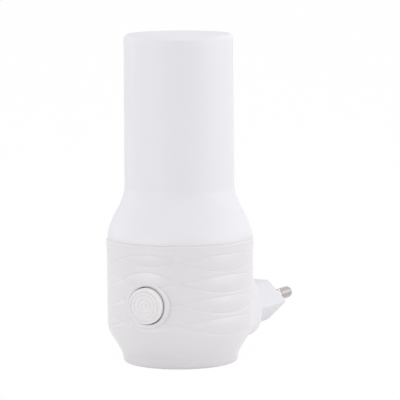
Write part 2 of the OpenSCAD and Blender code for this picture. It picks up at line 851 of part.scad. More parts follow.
// A pin, with its tail, its core and its bare tip with a domed end
module plug_pin(s) {
    dome = pin_r * 0.8;
    color(bright_metal)
    translate([s * pin_x, 0, 0])
        along_y(0, plug_z) {
            bar(pin_core_r, tail_back, bare_start + over);
            rotate_extrude()
                polygon(concat(
                    [[0, bare_start], [pin_r - pin_chamfer, bare_start], [pin_r, bare_start + pin_chamfer]],
                    [for (i = [0:8]) [pin_r * cos(11.25 * i), pin_tip - dome + dome * sin(11.25 * i)]]
                ));
        }
}

module plug_pin_left() plug_pin(-1);
module plug_pin_right() plug_pin(1);

// The insulating sleeve of a pin
module pin_sleeve(s) {
    color(plug_white)
    translate([s * pin_x, 0, 0])
        along_y(plug_front - sleeve_root, plug_z)
            difference() {
                bar(sleeve_r, 0, bare_start - plug_front + sleeve_root);
                bar(pin_core_r, -past, pin_l + sleeve_root);
            }
}

module pin_sleeve_left() pin_sleeve(-1);
module pin_sleeve_right() pin_sleeve(1);

module plug_screws() {
    color(steel)
    for (s = [-1, 1])
        along_y(seat_back_y, plug_z + s * plug_screw_spacing / 2)
            mirror([0, 0, 1])
                screw();
}

module light_tray() {
    color(white_shell)
    difference() {
        union() {
            bar(skirt_r, ledge_z, tray_top_z);
            // Bosses for the light board's screws
            for (p = led_screws)
                translate(p)
                    bar(post_r, led_pilot_z - led_boss_floor, ledge_z + over);
            // Fingers on both sides of the driver board's top edge
            for (s = [-1, 1])
                for (y = [-board_front - board_gap - finger_t / 2, -board_back + board_gap + finger_t / 2])
                    translate([s * board_w / 4, y, 0])
                        post_box(finger_w, finger_t, ledge_z - finger_l, ledge_z + over);
        }
        for (p = posts)
            translate(p)
                bar(screw_r + hole_gap, ledge_z - past, tray_top_z + past);
        for (p = led_screws)
            translate(p)
                bar(screw_r, led_pilot_z, tray_top_z + past);
        translate([0, wire_hole_y, 0])
            bar(wire_hole_r, ledge_z - past, tray_top_z + past);
    }
}

module tray_screws() {
    color(steel)
    for (p = posts)
        translate([p[0], p[1], tray_top_z])
            screw();
}

module led_board() {
    color(white_shell)
    difference() {
        bar(led_board_r, tray_top_z, led_board_top_z);
        for (p = led_screws)
            translate(p)
                bar(screw_r + hole_gap, tray_top_z - past, led_board_top_z + past);
    }
}

module leds() {
    led_top_z = led_board_top_z + led_h;
    color("khaki")
    for (i = [0:led_count - 1])
        rotate([0, 0, 360 * (i + 0.5) / led_count])
            translate([led_ring_r, 0, 0])
                difference() {
                    post_box(led_l, led_w, led_board_top_z, led_top_z);
                    bar(led_window_r, led_top_z - led_window_depth, led_top_z + past);
                }
}

module led_board_screws() {
    color(steel)
    for (p = led_screws)
        translate([p[0], p[1], led_board_top_z])
            screw(led_screw_l);
}

module driver_board() {
    color(board_green)
    difference() {
        translate([-board_w / 2, -board_front, board_foot_z])
            cube([board_w, board_t, board_top_z - board_foot_z]);
        for (p = lead_holes)
            translate([p[0], 0, 0])
                along_y(-board_front - past, p[1])
                    bar(lead_r + hole_gap, 0, board_t + 2 * past);
        for (s = [-1, 1])
            for (k = [-1:1])
                translate([s * terminal_row / 2, 0, k * terminal_pitch])
                    along_y(-board_front - past, button_z)
                        bar(terminal_r + hole_gap, 0, board_t + 2 * past);
    }
}

// A lead that goes from the board's back face through the board
module board_lead(p, back = 0) {
    translate([p[0], 0, 0])
        along_y(-board_front - lead_stub, p[1])
            bar(lead_r, 0, board_t + lead_stub + back);
}

module film_capacitor() {
    round_r = 0.8;
    corner = [film_cap_w / 2 - round_r, film_cap_t / 2 - round_r];
    color([0.85, 0.65, 0.15]) {
        translate([film_cap_at[0], -board_back, film_cap_at[1]])
            rotate([-90, 0, 0])
                linear_extrude(height = film_cap_h)
                    union() {
                        square([film_cap_w, film_cap_t - 2 * round_r], center = true);
                        square([film_cap_w - 2 * round_r, film_cap_t], center = true);
                        for (sx = [-1, 1])
                            for (sy = [-1, 1])
                                translate([sx * corner[0], sy * corner[1]])
                                    circle(r = round_r, $fn = 24);
                    }
        for (i = [0, 1])
            board_lead(lead_holes[i], over);
    }
}

module electrolytic_capacitor() {
    crimp = 0.35;
    color([0.10, 0.14, 0.30]) {
        translate([can_at[0], 0, 0])
            along_y(-board_back, can_at[1])
                rotate_extrude()
                    polygon(concat(
                        [[0, 0], [can_r - 0.3, 0], [can_r, 0.3], [can_r, 1.6], [can_r - crimp, 2.0],
                            [can_r - crimp, 2.3], [can_r, 2.7]],
                        arc_points([can_r - 0.5, can_l - 0.5], 0.5, 0, 90, 4),
                        [[can_r - 0.9, can_l - 0.15], [0, can_l - 0.15]]
                    ));
        for (i = [2, 3])
            board_lead(lead_holes[i], over);
    }
}

module bridge_rectifier() {
    color(part_black) {
        translate([bridge_at[0], -board_back, bridge_at[1]])
            rotate([-90, 0, 0])
                post_box(bridge_l, bridge_w, 0, bridge_h);
        for (i = [4:7])
            board_lead(lead_holes[i], over);
    }
}

// A resistor that lies on the board's back face, with both leads bent through it
module axial_resistor(p, r, l) {
    reach = l / 2 + lead_bend;
    translate([p[0], -board_back + r, p[1]])
        rotate([0, 90, 0])
            rotate_extrude()
                polygon([[0, -l / 2], [r * 0.8, -l / 2], [r, -l / 2 + 0.5], [r, -l / 2 + 1.6],
                    [r * 0.86, -l / 2 + 2], [r * 0.86, l / 2 - 2], [r, l / 2 - 1.6],
                    [r, l / 2 - 0.5], [r * 0.8, l / 2], [0, l / 2]]);
    translate([p[0] - reach, -board_back + r, p[1]])
        rotate([0, 90, 0])
            cylinder(r = lead_r, h = 2 * reach);
    for (s = [-1, 1]) {
        board_lead(p + [s * reach, 0], r);
        translate([p[0] + s * reach, -board_back + r, p[1]])
            sphere(r = lead_r, $fn = 24);
    }
}

module fuse_resistor() {
    color([0.25, 0.45, 0.35])
    axial_resistor(fuse_at, fuse_r, fuse_l);
}

module resistors() {
    color([0.75, 0.68, 0.50])
    for (p = resistor_at)
        axial_resistor(p, resistor_r, resistor_l);
}

module live_wire() {
    color([0.45, 0.25, 0.12])
    tube_along(smooth_route(live_route, 4), mains_wire_r, [0, 0, 1]);
}

module neutral_wire() {
    color([0.12, 0.25, 0.60])
    tube_along(smooth_route(neutral_route, 4), mains_wire_r, [0, 0, 1]);
}

module lamp_wire_positive() {
    color([0.70, 0.10, 0.08])
    tube_along(smooth_route(positive_route, 4), lamp_wire_r, [1, 0, 0]);
}

module lamp_wire_negative() {
    color(part_black)
    tube_along(smooth_route(negative_route, 4), lamp_wire_r, [1, 0, 0]);
}

base_housing();
diffuser();
push_button();
switch_body();
switch_plunger();
switch_spring();
switch_terminals();
plug_body();
plug_pin_left();
plug_pin_right();
pin_sleeve_left();
pin_sleeve_right();
plug_screws();
light_tray();
tray_screws();
led_board();
leds();
led_board_screws();
driver_board();
film_capacitor();
electrolytic_capacitor();
bridge_rectifier();
fuse_resistor();
resistors();
live_wire();
neutral_wire();
lamp_wire_positive();
lamp_wire_negative();
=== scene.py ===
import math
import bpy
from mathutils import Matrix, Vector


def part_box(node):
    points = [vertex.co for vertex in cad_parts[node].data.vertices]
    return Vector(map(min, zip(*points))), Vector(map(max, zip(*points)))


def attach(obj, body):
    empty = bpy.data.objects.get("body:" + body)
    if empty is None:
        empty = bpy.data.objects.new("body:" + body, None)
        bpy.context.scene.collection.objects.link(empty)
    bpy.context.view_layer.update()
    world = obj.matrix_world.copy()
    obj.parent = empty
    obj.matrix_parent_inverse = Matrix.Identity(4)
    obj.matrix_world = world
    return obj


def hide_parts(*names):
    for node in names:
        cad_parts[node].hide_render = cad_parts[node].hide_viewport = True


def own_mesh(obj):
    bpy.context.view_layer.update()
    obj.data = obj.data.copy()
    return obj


bl_info = {
    "name": "Plug-in night light",
    "version": (1, 0, 0),
    "blender": (4, 5, 0),
    "location": "View3D > Sidebar > Night light",
    "description": "Dresses the plug-in night light's solids with skins, finishes, lamps and a camera",
    "category": "Object",
}

from contextlib import contextmanager

import bmesh
import bpy
import numpy as np
from bpy.props import FloatProperty, FloatVectorProperty, IntProperty, PointerProperty
from bpy.types import Operator, Panel, PropertyGroup
from mathutils import Matrix, Vector

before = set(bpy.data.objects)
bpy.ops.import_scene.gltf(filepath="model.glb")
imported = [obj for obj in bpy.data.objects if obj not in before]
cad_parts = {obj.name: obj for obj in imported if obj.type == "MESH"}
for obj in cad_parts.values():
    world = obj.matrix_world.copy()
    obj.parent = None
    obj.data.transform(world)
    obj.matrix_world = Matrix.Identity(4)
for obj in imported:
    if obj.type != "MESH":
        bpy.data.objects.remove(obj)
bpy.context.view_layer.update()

# All sizes below are in millimetres unless they say otherwise. The lamp's axis is Z, the
# foot's underside is z = 0, the button faces -Y and the plug +Y.
MM = 0.001

# Housing: outline of its outer wall
BASE_R = 23.95
BASE_H = 40.9
RIM_FLARE = 0.2
RIM_FLARE_H = 6.0
RIM_BAND_H = 2.0
RIM_CHAMFER = 0.45
RIM_SETBACK = 0.35
FOOT_R = 19.15
FOOT_H = 3.1
FOOT_LEAN = 0.3
FOOT_ROUND = 0.8
FOOT_SOFT = 0.5
CONE_ANGLE = math.radians(31)
SHOULDER_ROUND = 6.0

# Plug
PLUG_Z = 14.1
PLUG_W = 35.3
PLUG_T = 13.7
PLUG_VERTEX_ROUND = 1.0
PLUG_FRONT = 46.0
PLUG_GAP = 0.1
SEAT_Y = 23.0
SEAT_ROOM = 1.2
LONG_EDGE_BEVEL = 0.5
PIN_X = 9.5
PIN_R = 2.0
PIN_TIP = 65.0
PIN_DOME_H = 1.6
PIN_CORE_R = 1.45
PIN_CHAMFER = 0.1
PIN_RINGS = (58.0, 61.0)
PIN_HOLE_BACK = 19.0
BARE_START = 56.0
SLEEVE_R = 1.84
SLEEVE_BACK = 44.0
SLEEVE_RING = 50.0
SLEEVE_SOFT = 0.15
SLEEVE_GAP = 0.06
SLEEVE_HOLE_EDGE = 0.25
SLEEVE_HOLE_PAST = 0.01
LOCATOR_R = 3.0
LOCATOR_H = 2.6
LOCATOR_SUNK = 0.5
PLUG_SCREW_SPACING = 7.6
PLUG_SCREW_DEPTH = 5.4
SCREW_R = 1.05

# Boss behind the housing, which holds the plug and leaves the wall as a tangent
BOSS_R = 17.896
BOSS_REACH = 26.0
BOSS_ROUND = 0.8
BOSS_UNDER_Z = 4.7
BOSS_UNDER_ROUND = 7.5
BOSS_SIDE_X = 9.0
BOSS_SIDE_ROUND = 14.0
BOSS_OUTER_R = math.hypot(BOSS_R, BOSS_REACH)
BOSS_FLARE = math.atan2(BOSS_REACH, BOSS_R) - math.acos(BASE_R / BOSS_OUTER_R)
TANGENT_ANGLE = math.pi / 2 - BOSS_FLARE
# How softly its faces meet, and where its blend with the wall fades out, before the tangent
# (radians) and towards the foot
RIM_BLEND = 2.2 * BOSS_ROUND
UNDER_BLEND = 1.0
BLEND_FADE = (0.35, 0.05)
LOW_BLEND = 0.3
LOW_BLEND_Z = (8.5, 11.5)

# Button in front
BUTTON_Z = 21.45
BUTTON_R = 5.9
BUTTON_FACE = 25.95
BUTTON_WALL = 1.2
RING_FIRST = 1.0
RING_STEP = 1.3
HOLE_R = 6.2
HOLE_BACK = 22.6
HOLE_CHAMFER = 0.2
HOLE_PAST = 0.8
BEZEL_R = 7.6
BEZEL_FACE = 24.15
BEZEL_BACK = 20.5
BEZEL_ROUND = 0.4
FLANGE_R = 7.2
FLANGE_BACK = 18.35
FLANGE_FRONT = 19.35
STEM_HALF = 1.5
STEM_HOLE_HALF = 1.6
STEM_HOLE_END = 0.3
SOCKET_WALL = 0.6
SOCKET_LIP = 0.4

# Diffuser
LAMP_H = 107.6
SEAM_R = 23.8
SEAM_CUT = 0.1
TUBE_R = 18.0
TUBE_DRAFT = 0.2
TUBE_TOP_R = TUBE_R - TUBE_DRAFT
TOP_FLAT = 3.0
SKIRT_R = 22.75
SKIRT_BOTTOM = 37.2
SKIRT_OVERLAP = 1.2
BEAD_Z = 39.2
BEAD_R = 0.25
FLARE_STEPS = 40
TUBE_STEPS = 12

# Faces around turned pieces, and how far a cutting shape goes past the face that it opens
MEDIUM_SEGMENTS = 128
SMALL_SEGMENTS = 64
SCREW_SEGMENTS = 32
CUT_PAST = 1.0

PROPERTIES = "night_light"


def props():
    return getattr(bpy.context.scene, PROPERTIES)


# ---------------------------------------------------------------- sizes and colours

def length(name, description, size, least=0.0):
    return FloatProperty(
        name=name, description=description, default=size * MM, min=least * MM, unit="LENGTH")


def colour(name, description, value):
    return FloatVectorProperty(
        name=name, description=description, subtype="COLOR", size=3, min=0, max=1, default=value)


class NightLightSizes(PropertyGroup):
    """Sizes of what the visual skins add to the solids."""

    wave_depth: length("Wave depth", "Depth of the engraved waves", 0.12)
    wave_width: length("Wave width", "Half width of an engraved line", 0.34, 0.1)
    boss_blend: length("Boss blend", "How softly the boss runs into the housing", 1.8, 0.01)
    diffuser_wall: length("Diffuser wall", "Wall thickness of the opal tube", 1.3, 0.5)
    flare_height: length("Flare height", "Height of the tube's bell-shaped foot", 17.2, 5.0)
    top_round: length("Top rounding", "Rounding of the tube's top edge", 1.4)
    cap_round: length("Cap rounding", "Rounding of the button's edge", 1.0)
    ring_depth: length("Ring depth", "Depth of the rings on the button", 0.13)
    ring_count: IntProperty(
        name="Rings", description="Number of rings on the button", default=4, min=0, max=4)
    plug_bevel: length("Plug bevel", "Bevel around the plug's front face", 0.7)
    lathe_segments: IntProperty(
        name="Segments", description="Faces around the opal tube", default=192, min=24, max=360)


class NightLightColours(PropertyGroup):
    """Colours of the finishes."""

    housing: colour("Housing", "Moulded plastic of the housing", (0.760, 0.742, 0.765))
    diffuser: colour("Diffuser", "Opal plastic of the tube", (0.820, 0.807, 0.850))
    button: colour("Button", "Moulded plastic of the button", (0.812, 0.793, 0.806))
    plug: colour("Plug", "Moulded plastic of the plug", (0.750, 0.738, 0.780))
    sleeve: colour("Pin sleeves", "Insulating sleeves on the pins", (0.82, 0.79, 0.82))
    pin: colour("Pins", "Nickel plating of the pins", (0.50, 0.46, 0.465))
    gel: colour("Diode gel", "Phosphor gel in the diodes", (0.80, 0.62, 0.10))
    floor: colour("Floor", "Floor and background", (0.93, 0.93, 0.93))


# ---------------------------------------------------------------- mesh helpers

def add_object(name, data):
    obj = bpy.data.objects.new(name, data)
    bpy.context.scene.collection.objects.link(obj)
    return obj


def make_object(name, points, faces=(), edges=()):
    """An object at the origin from points in millimetres."""
    mesh = bpy.data.meshes.new(name)
    mesh.from_pydata([[MM * c for c in p] for p in points], edges,
                     [[int(v) for v in face] for face in faces])
    mesh.update()
    return add_object(name, mesh)


@contextmanager
def editing(mesh):
    """Opens a mesh as a bmesh and writes it back."""
    work = bmesh.new()
    work.from_mesh(mesh)
    yield work
    work.to_mesh(mesh)
    work.free()


def face_outwards(obj):
    """Closes seams and poles and turns all faces outwards."""
    with editing(obj.data) as mesh:
        bmesh.ops.remove_doubles(mesh, verts=mesh.verts, dist=1e-7)
        bmesh.ops.recalc_face_normals(mesh, faces=mesh.faces)
        if mesh.calc_volume(signed=True) < 0:
            bmesh.ops.reverse_faces(mesh, faces=mesh.faces)


def along_front(height):
    """Stands a turned piece in front of the lamp: its axis points to -Y."""
    return Matrix.Translation((0, 0, height * MM)) @ Matrix.Rotation(math.pi / 2, 4, "X")


def along_back(x, height):
    """Lays a turned piece behind the lamp: its axis points to +Y."""
    turn = Matrix.Rotation(-math.pi / 2, 4, "X")
    return Matrix.Translation((x * MM, 0, height * MM)) @ turn


def grid_faces(index, skipped=lambda row, column: False):
    """Faces between rows of points that run around, and the lowest and the highest face."""
    rows, columns = index.shape
    faces = [(index[i, j - 1], index[i, j], index[i + 1, j], index[i + 1, j - 1])
             for i in range(rows - 1) for j in range(columns)
             if not skipped(i, (j - 1) % columns)]
    return faces + [index[0, ::-1], index[-1]]


def prism(name, section, y0, y1, height):
    """A prism along +Y from a section of (x, z) points."""
    index = np.arange(2 * len(section)).reshape(2, -1)
    points = [(x, y, z + height) for y in (y0, y1) for x, z in section]
    obj = make_object(name, points, grid_faces(index))
    face_outwards(obj)
    return obj


def frame_copy(node, name):
    """A merged copy of a node's solid."""
    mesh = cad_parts[node].data.copy()
    mesh.name = name
    with editing(mesh) as work:
        bmesh.ops.remove_doubles(work, verts=work.verts, dist=1e-6)
        bmesh.ops.dissolve_degenerate(work, dist=1e-7, edges=work.edges)
    return add_object(name, mesh)


def bake(obj):
    """Turns an object's modifiers into its plain mesh."""
    bpy.context.view_layer.update()
    graph = bpy.context.evaluated_depsgraph_get()
    mesh = bpy.data.meshes.new_from_object(obj.evaluated_get(graph), depsgraph=graph)
    old = obj.data
    obj.modifiers.clear()
    obj.data = mesh
    mesh.name = obj.name
    if old.users == 0:
        bpy.data.meshes.remove(old)


def combine(obj, other, operation):
    """Boolean of two closed solids, which uses up the other one."""
    modifier = obj.modifiers.new("solid", "BOOLEAN")
    modifier.operation = operation
    modifier.solver = "MANIFOLD"
    modifier.object = other
    bake(obj)
    if len(obj.data.polygons) < 4:
        raise RuntimeError(f"{operation} of {obj.name} and {other.name} left nothing")
    bpy.data.objects.remove(other, do_unlink=True)


def set_material(obj, material):
    obj.data.materials.clear()
    obj.data.materials.append(material)


def finish_piece(obj, body, slot, material, *nodes, angle=35):
    """Gives a piece its body and material, hides the nodes that it stands for, and gives it smooth
    shading with sharp edges above an angle in degrees. The slot is not used."""
    obj.data.shade_smooth()
    obj.data.set_sharp_from_angle(angle=math.radians(angle))
    set_material(obj, material)
    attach(obj, body)
    if nodes:
        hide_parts(*nodes)


def arc(cx, cz, radius, start, end, steps):
    """Points of an arc, angles in degrees."""
    turn = [math.radians(start + (end - start) * i / steps) for i in range(steps + 1)]
    return [(cx + radius * math.cos(a), cz + radius * math.sin(a)) for a in turn]


# ---------------------------------------------------------------- node trees

def math_sign(operation):
    """An arithmetic sign between values, which adds a math node."""
    def method(value, other):
        return value.tree.math(operation, value, other)
    return method


class Value:
    """An output of a node."""

    def __init__(self, tree, socket):
        self.tree = tree
        self.socket = socket

    def __getitem__(self, name):
        """Another output of the same node."""
        return Value(self.tree, self.socket.node.outputs[name])

    __add__ = math_sign("ADD")
    __sub__ = math_sign("SUBTRACT")
    __mul__ = math_sign("MULTIPLY")
    __truediv__ = math_sign("DIVIDE")
    __pow__ = math_sign("POWER")

    def __rsub__(self, number):
        return self.tree.math("SUBTRACT", number, self)


class Tree:
    """Short way to write node trees."""

    def __init__(self, tree):
        self.tree = tree

    def fill(self, node, inputs):
        """Feeds a node's inputs with values or numbers."""
        for key, value in inputs.items():
            if isinstance(value, Value):
                self.tree.links.new(value.socket, node.inputs[key])
            else:
                node.inputs[key].default_value = value

    def add(self, kind, inputs=None, **settings):
        """Adds a node and returns its first output."""
        node = self.tree.nodes.new(kind)
        for key, value in settings.items():
            setattr(node, key, value)
        self.fill(node, inputs or {})
        return Value(self, node.outputs[0]) if node.outputs else None

    def math(self, operation, a, b=None, clamp=False):
        inputs = {0: a} if b is None else {0: a, 1: b}
        return self.add("ShaderNodeMath", inputs, operation=operation, use_clamp=clamp)

    def noise(self, where, scale, detail=2.0, roughness=0.5):
        return self.add("ShaderNodeTexNoise", {"Vector": where, "Scale": scale, "Detail": detail,
                                               "Roughness": roughness})

    def ramp(self, value, low, high, start=1.0, end=0.0):
        """Maps the range from low to high onto start to end."""
        return self.add("ShaderNodeMapRange", {"Value": value, "From Min": low, "From Max": high,
                                               "To Min": start, "To Max": end})

    def where(self):
        return self.add("ShaderNodeTexCoord")["Object"]

    def parts(self, vector):
        return self.add("ShaderNodeSeparateXYZ", {0: vector})

    def vector(self, x, y=0.0, z=0.0):
        return self.add("ShaderNodeCombineXYZ", {"X": x, "Y": y, "Z": z})

    def tint(self, share, low, high):
        """Mixes two colours."""
        return self.add("ShaderNodeMix", {0: share, 6: low, 7: high}, data_type="RGBA")[2]

    def bump(self, height, strength, distance):
        return self.add("ShaderNodeBump", {"Height": height, "Strength": strength,
                                           "Distance": distance})

    def moved(self, geometry, place):
        return self.add("GeometryNodeSetPosition", {"Geometry": geometry, "Position": place})

    def painted(self, geometry, material):
        """The last steps of a geometry group: real faces with their material."""
        real = self.add("GeometryNodeRealizeInstances", {"Geometry": geometry})
        return self.add("GeometryNodeSetMaterial", {"Geometry": real, "Material": material})


def add_socket(group, way, label, value):
    """Adds a named socket; value is its kind, or a default that tells its kind."""
    if isinstance(value, str):
        kind = value
    elif isinstance(value, tuple):
        kind = "Vector" if len(value) == 3 else "Color"
    else:
        kind = "Int" if isinstance(value, int) else "Float"
    item = group.interface.new_socket(label, in_out=way, socket_type="NodeSocket" + kind)
    if value != kind:
        item.default_value = value


def node_group(name, inputs, outputs, kind="ShaderNodeTree"):
    """For a function that fills a tree: it then builds this node group once and returns it."""
    def wrap(fill):
        def get():
            group = bpy.data.node_groups.get(name)
            if group:
                return group
            group = bpy.data.node_groups.new(name, kind)
            for label, value in inputs.items():
                add_socket(group, "INPUT", label, value)
            for label, value in outputs.items():
                add_socket(group, "OUTPUT", label, value)
            t = Tree(group)
            results = fill(t, t.add("NodeGroupInput"))
            t.add("NodeGroupOutput", dict(enumerate(results)))
            return group
        return get
    return wrap


@node_group("Turned shell", {
    "Profile": "Geometry", "Segments": 96, "Flare Start": 0.0, "Flare Height": 1.0,
    "Flare Reach": 0.0, "Material": "Material",
}, {"Shell": "Geometry"}, "GeometryNodeTree")
def lathe_tree(t, given):
    """Turns a profile about Z, and bells it out towards the seam."""
    position = t.add("GeometryNodeInputPosition")
    rows = t.add("GeometryNodeAttributeDomainSize", {0: given["Profile"]})["Point Count"]
    grid = t.add("GeometryNodeMeshGrid", {"Size X": 1.0, "Size Y": 1.0, "Vertices X": rows,
                                          "Vertices Y": given["Segments"] + 1.0})
    place = t.parts(position)
    row = t.math("ROUND", (place["X"] + 0.5) * (rows - 1.0))
    turn = (place["Y"] + 0.5) * (2 * math.pi)
    sample = t.add("GeometryNodeSampleIndex", {0: given["Profile"], "Value": position,
                                               "Index": row},
                   data_type="FLOAT_VECTOR", domain="POINT")
    point = t.parts(sample)
    height = point["Z"]
    rise = t.math("DIVIDE", height - given["Flare Start"], given["Flare Height"], clamp=True)
    bell = (t.math("COSINE", rise * math.pi) + 1.0) * (given["Flare Reach"] * 0.5)
    on_axis = t.math("LESS_THAN", point["X"], 1e-7)
    radius = point["X"] + bell * (1.0 - on_axis)
    spot = t.vector(radius * t.math("COSINE", turn), radius * t.math("SINE", turn), height)
    merged = t.add("GeometryNodeMergeByDistance", {"Geometry": t.moved(grid, spot),
                                                   "Distance": 1e-6})
    return [t.painted(merged, given["Material"])]


@node_group("Studs on points", {
    "Points": "Geometry", "Sides": 16, "Base Radius": 0.001, "Tip Radius": 0.0005,
    "Height": 0.001, "Flank Power": 1.0, "Tilt": 0.0, "Material": "Material",
}, {"Studs": "Geometry"}, "GeometryNodeTree")
def studs_tree(t, given):
    """A small round stud on each point, with a hollow or a domed flank."""
    base = given["Base Radius"]
    tip = given["Tip Radius"]
    cone = t.add("GeometryNodeMeshCone", {
        "Vertices": given["Sides"], "Side Segments": 6, "Fill Segments": 1,
        "Radius Top": tip, "Radius Bottom": base, "Depth": given["Height"]})
    place = t.parts(t.add("GeometryNodeInputPosition"))
    rise = t.math("DIVIDE", place["Z"], given["Height"], clamp=True)
    lean = base - tip
    curved = tip + lean * (1.0 - rise) ** given["Flank Power"]
    share = curved / (base - lean * rise)
    shaped = t.moved(cone, t.vector(place["X"] * share, place["Y"] * share, place["Z"]))
    turn = t.add("FunctionNodeEulerToRotation", {0: t.vector(given["Tilt"])})
    placed = t.add("GeometryNodeInstanceOnPoints", {"Points": given["Points"],
                                                    "Instance": shaped, "Rotation": turn})
    return [t.painted(placed, given["Material"])]


@node_group("Coil spring", {
    "Start": "Geometry", "Turns": 4.0, "Radius": 0.002, "Wire Radius": 0.0002, "Length": 0.004,
    "Material": "Material",
}, {"Coil": "Geometry"}, "GeometryNodeTree")
def coil_tree(t, given):
    """A coil spring of round wire that stands on its start."""
    path = t.add("GeometryNodeCurveSpiral", {
        "Resolution": 28, "Rotations": given["Turns"], "Start Radius": given["Radius"],
        "End Radius": given["Radius"], "Height": given["Length"]})
    section = t.add("GeometryNodeCurvePrimitiveCircle", {"Resolution": 12,
                                                         "Radius": given["Wire Radius"]})
    wire = t.add("GeometryNodeCurveToMesh", {"Curve": path, "Profile Curve": section,
                                             "Fill Caps": True})
    return [t.painted(wire, given["Material"])]


def nodes_piece(obj, group, **values):
    """Runs a geometry node group on an object and keeps the plain mesh."""
    modifier = obj.modifiers.new(group.name, "NODES")
    modifier.node_group = group
    sockets = {item.name: item.identifier for item in group.interface.items_tree
               if item.item_type == "SOCKET" and item.in_out == "INPUT"}
    for label, value in values.items():
        modifier[sockets[label.replace("_", " ")]] = value
    bake(obj)
    face_outwards(obj)
    return obj


def turned_piece(name, profile, segments, material, place=None, **flare):
    """A turned piece; profile is (radius, height) points, from axis to axis or a ring."""
    edges = [(i, i + 1) for i in range(len(profile) - 1)]
    obj = make_object(name, [(r, 0, z) for r, z in profile], edges=edges)
    nodes_piece(obj, lathe_tree(), Segments=segments, Material=material, **flare)
    if place:
        obj.data.transform(place)
    return obj


def rod(name, ends, radius, segments, material, place):
    """A plain turned cylinder between two heights."""
    low, high = ends
    profile = [(0, low), (radius, low), (radius, high), (0, high)]
    return turned_piece(name, profile, segments, material, place)


# ---------------------------------------------------------------- shared finishes

@node_group("Moulded grain", {"Grain Size": 2500.0, "Ripple Size": 120.0, "Ripple": 0.3},
            {"Height": "Float"})
def grain_group(t, given):
    """Fine texture of a moulded or cast surface, as a height."""
    where = t.where()
    fine = t.noise(where, given["Grain Size"], 3.0, 0.6)
    broad = t.noise(where, given["Ripple Size"])
    return [t.add("ShaderNodeMix", {"Factor": given["Ripple"], "A": fine, "B": broad})]


@node_group("Tone drift", {
    "Color": (0.8, 0.8, 0.8, 1), "Shade": (0.7, 0.7, 0.7, 1), "Size": 60.0, "Rough Low": 0.3,
    "Rough High": 0.4,
}, {"Color": "Color", "Roughness": "Float"})
def drift_group(t, given):
    """Slow drift of a colour and of its gloss over a surface."""
    where = t.where()
    clouds = t.noise(where, given["Size"], roughness=0.45)
    smudge = t.noise(where, given["Size"] * 3.1, 5.0)
    return [t.tint(clouds, given["Color"], given["Shade"]),
            t.ramp(smudge, 0.3, 0.7, given["Rough Low"], given["Rough High"])]


@node_group("Turning marks", {"Stretch": (60.0, 4000.0, 60.0), "Scratch Size": 700.0},
            {"Height": "Float", "Scratches": "Float"})
def turning_group(t, given):
    """Fine rings left by turning or drawing, across the Y axis, as a height and a mask."""
    where = t.where()
    stretched = t.add("ShaderNodeVectorMath", {0: where, 1: given["Stretch"]},
                      operation="MULTIPLY")
    return [t.noise(stretched, 1.0, 4.0), t.noise(where, given["Scratch Size"], 6.0, 0.7)]


@node_group("Stripe", {
    "Direction": (1.0, 0.0, 0.0), "Centre": 0.0, "Half Width": 0.001, "Edge": 0.0001,
}, {"Mask": "Float"})
def stripe_group(t, given):
    """Mask of a flat band across a direction: 1 inside its half width, 0 outside."""
    where = t.where()
    along = t.add("ShaderNodeVectorMath", {0: where, 1: given["Direction"]},
                  operation="DOT_PRODUCT")["Value"]
    ragged = t.noise(where, 1500.0) - 0.5
    away = t.math("ABSOLUTE", along - given["Centre"]) + ragged * given["Edge"]
    return [t.ramp(away, given["Half Width"], given["Half Width"] + given["Edge"])]


@node_group("Copper gaps", {"Scale": 220.0, "Gap": 0.04}, {"Mask": "Float"})
def copper_group(t, given):
    """Mask of the gaps between the copper areas under a circuit board's lacquer."""
    cells = t.add("ShaderNodeTexVoronoi", {"Vector": t.where(), "Scale": given["Scale"],
                                           "Randomness": 0.75}, feature="DISTANCE_TO_EDGE")
    return [t.ramp(cells["Distance"], given["Gap"], given["Gap"] * 1.5)]


def use(t, group, **values):
    """Places a shader node group in a tree and feeds its named inputs."""
    inputs = {label.replace("_", " "): value for label, value in values.items()}
    return t.add("ShaderNodeGroup", inputs, node_tree=group)


def rgba(value, gain=1.0):
    return (value[0] * gain, value[1] * gain, value[2] * gain, 1.0)


def principled(material):
    return next(n for n in material.node_tree.nodes if n.type == "BSDF_PRINCIPLED")


def drifting(name, base, shade_gain, size, rough):
    """A new material whose colour and gloss drift over the surface, its tree and its shader."""
    if name in bpy.data.materials:
        raise RuntimeError(f"material {name} is there already")
    material = bpy.data.materials.new(name)
    material.use_nodes = True
    t = Tree(material.node_tree)
    shader = principled(material)
    tone = use(t, drift_group(), Color=rgba(base), Shade=rgba(base, shade_gain), Size=size,
               Rough_Low=rough[0], Rough_High=rough[1])
    t.fill(shader, {"Base Color": tone["Color"], "Roughness": tone["Roughness"]})
    return material, t, shader


def plastic(name, base, rough=(0.33, 0.42), grain=0.02, subsurface=0.0, shade_gain=0.99,
            specular=0.5, drift=45.0, ripple=0.3):
    """Moulded plastic: fine grain, faint flow marks and handling marks in its gloss."""
    material, t, shader = drifting(name, base, shade_gain, drift, rough)
    height = use(t, grain_group(), Ripple=ripple)
    t.fill(shader, {"Normal": t.bump(height, grain, 0.0002), "Specular IOR Level": specular})
    if subsurface:
        t.fill(shader, {"Subsurface Weight": subsurface, "Subsurface Scale": 0.003,
                        "Subsurface Radius": (1.0, 0.9, 0.85)})
    return material


def metal(name, base, rough=(0.17, 0.26), bump_strength=0.08):
    """Plated or drawn metal: turning marks, fine scratches and duller patches."""
    material, t, shader = drifting(name, base, 0.8, 220.0, rough)
    marks = use(t, turning_group())
    height = marks["Height"] + marks["Scratches"] * 0.4
    t.fill(shader, {"Normal": t.bump(height, bump_strength, 0.0001), "Metallic": 1.0})
    return material


def paint_over(material, mask, over):
    """Lays another colour over a finish's base colour where a mask is 1."""
    t = Tree(material.node_tree)
    shader = principled(material)
    below = Value(t, shader.inputs["Base Color"].links[0].from_socket)
    t.fill(shader, {"Base Color": t.tint(mask, below, rgba(over))})


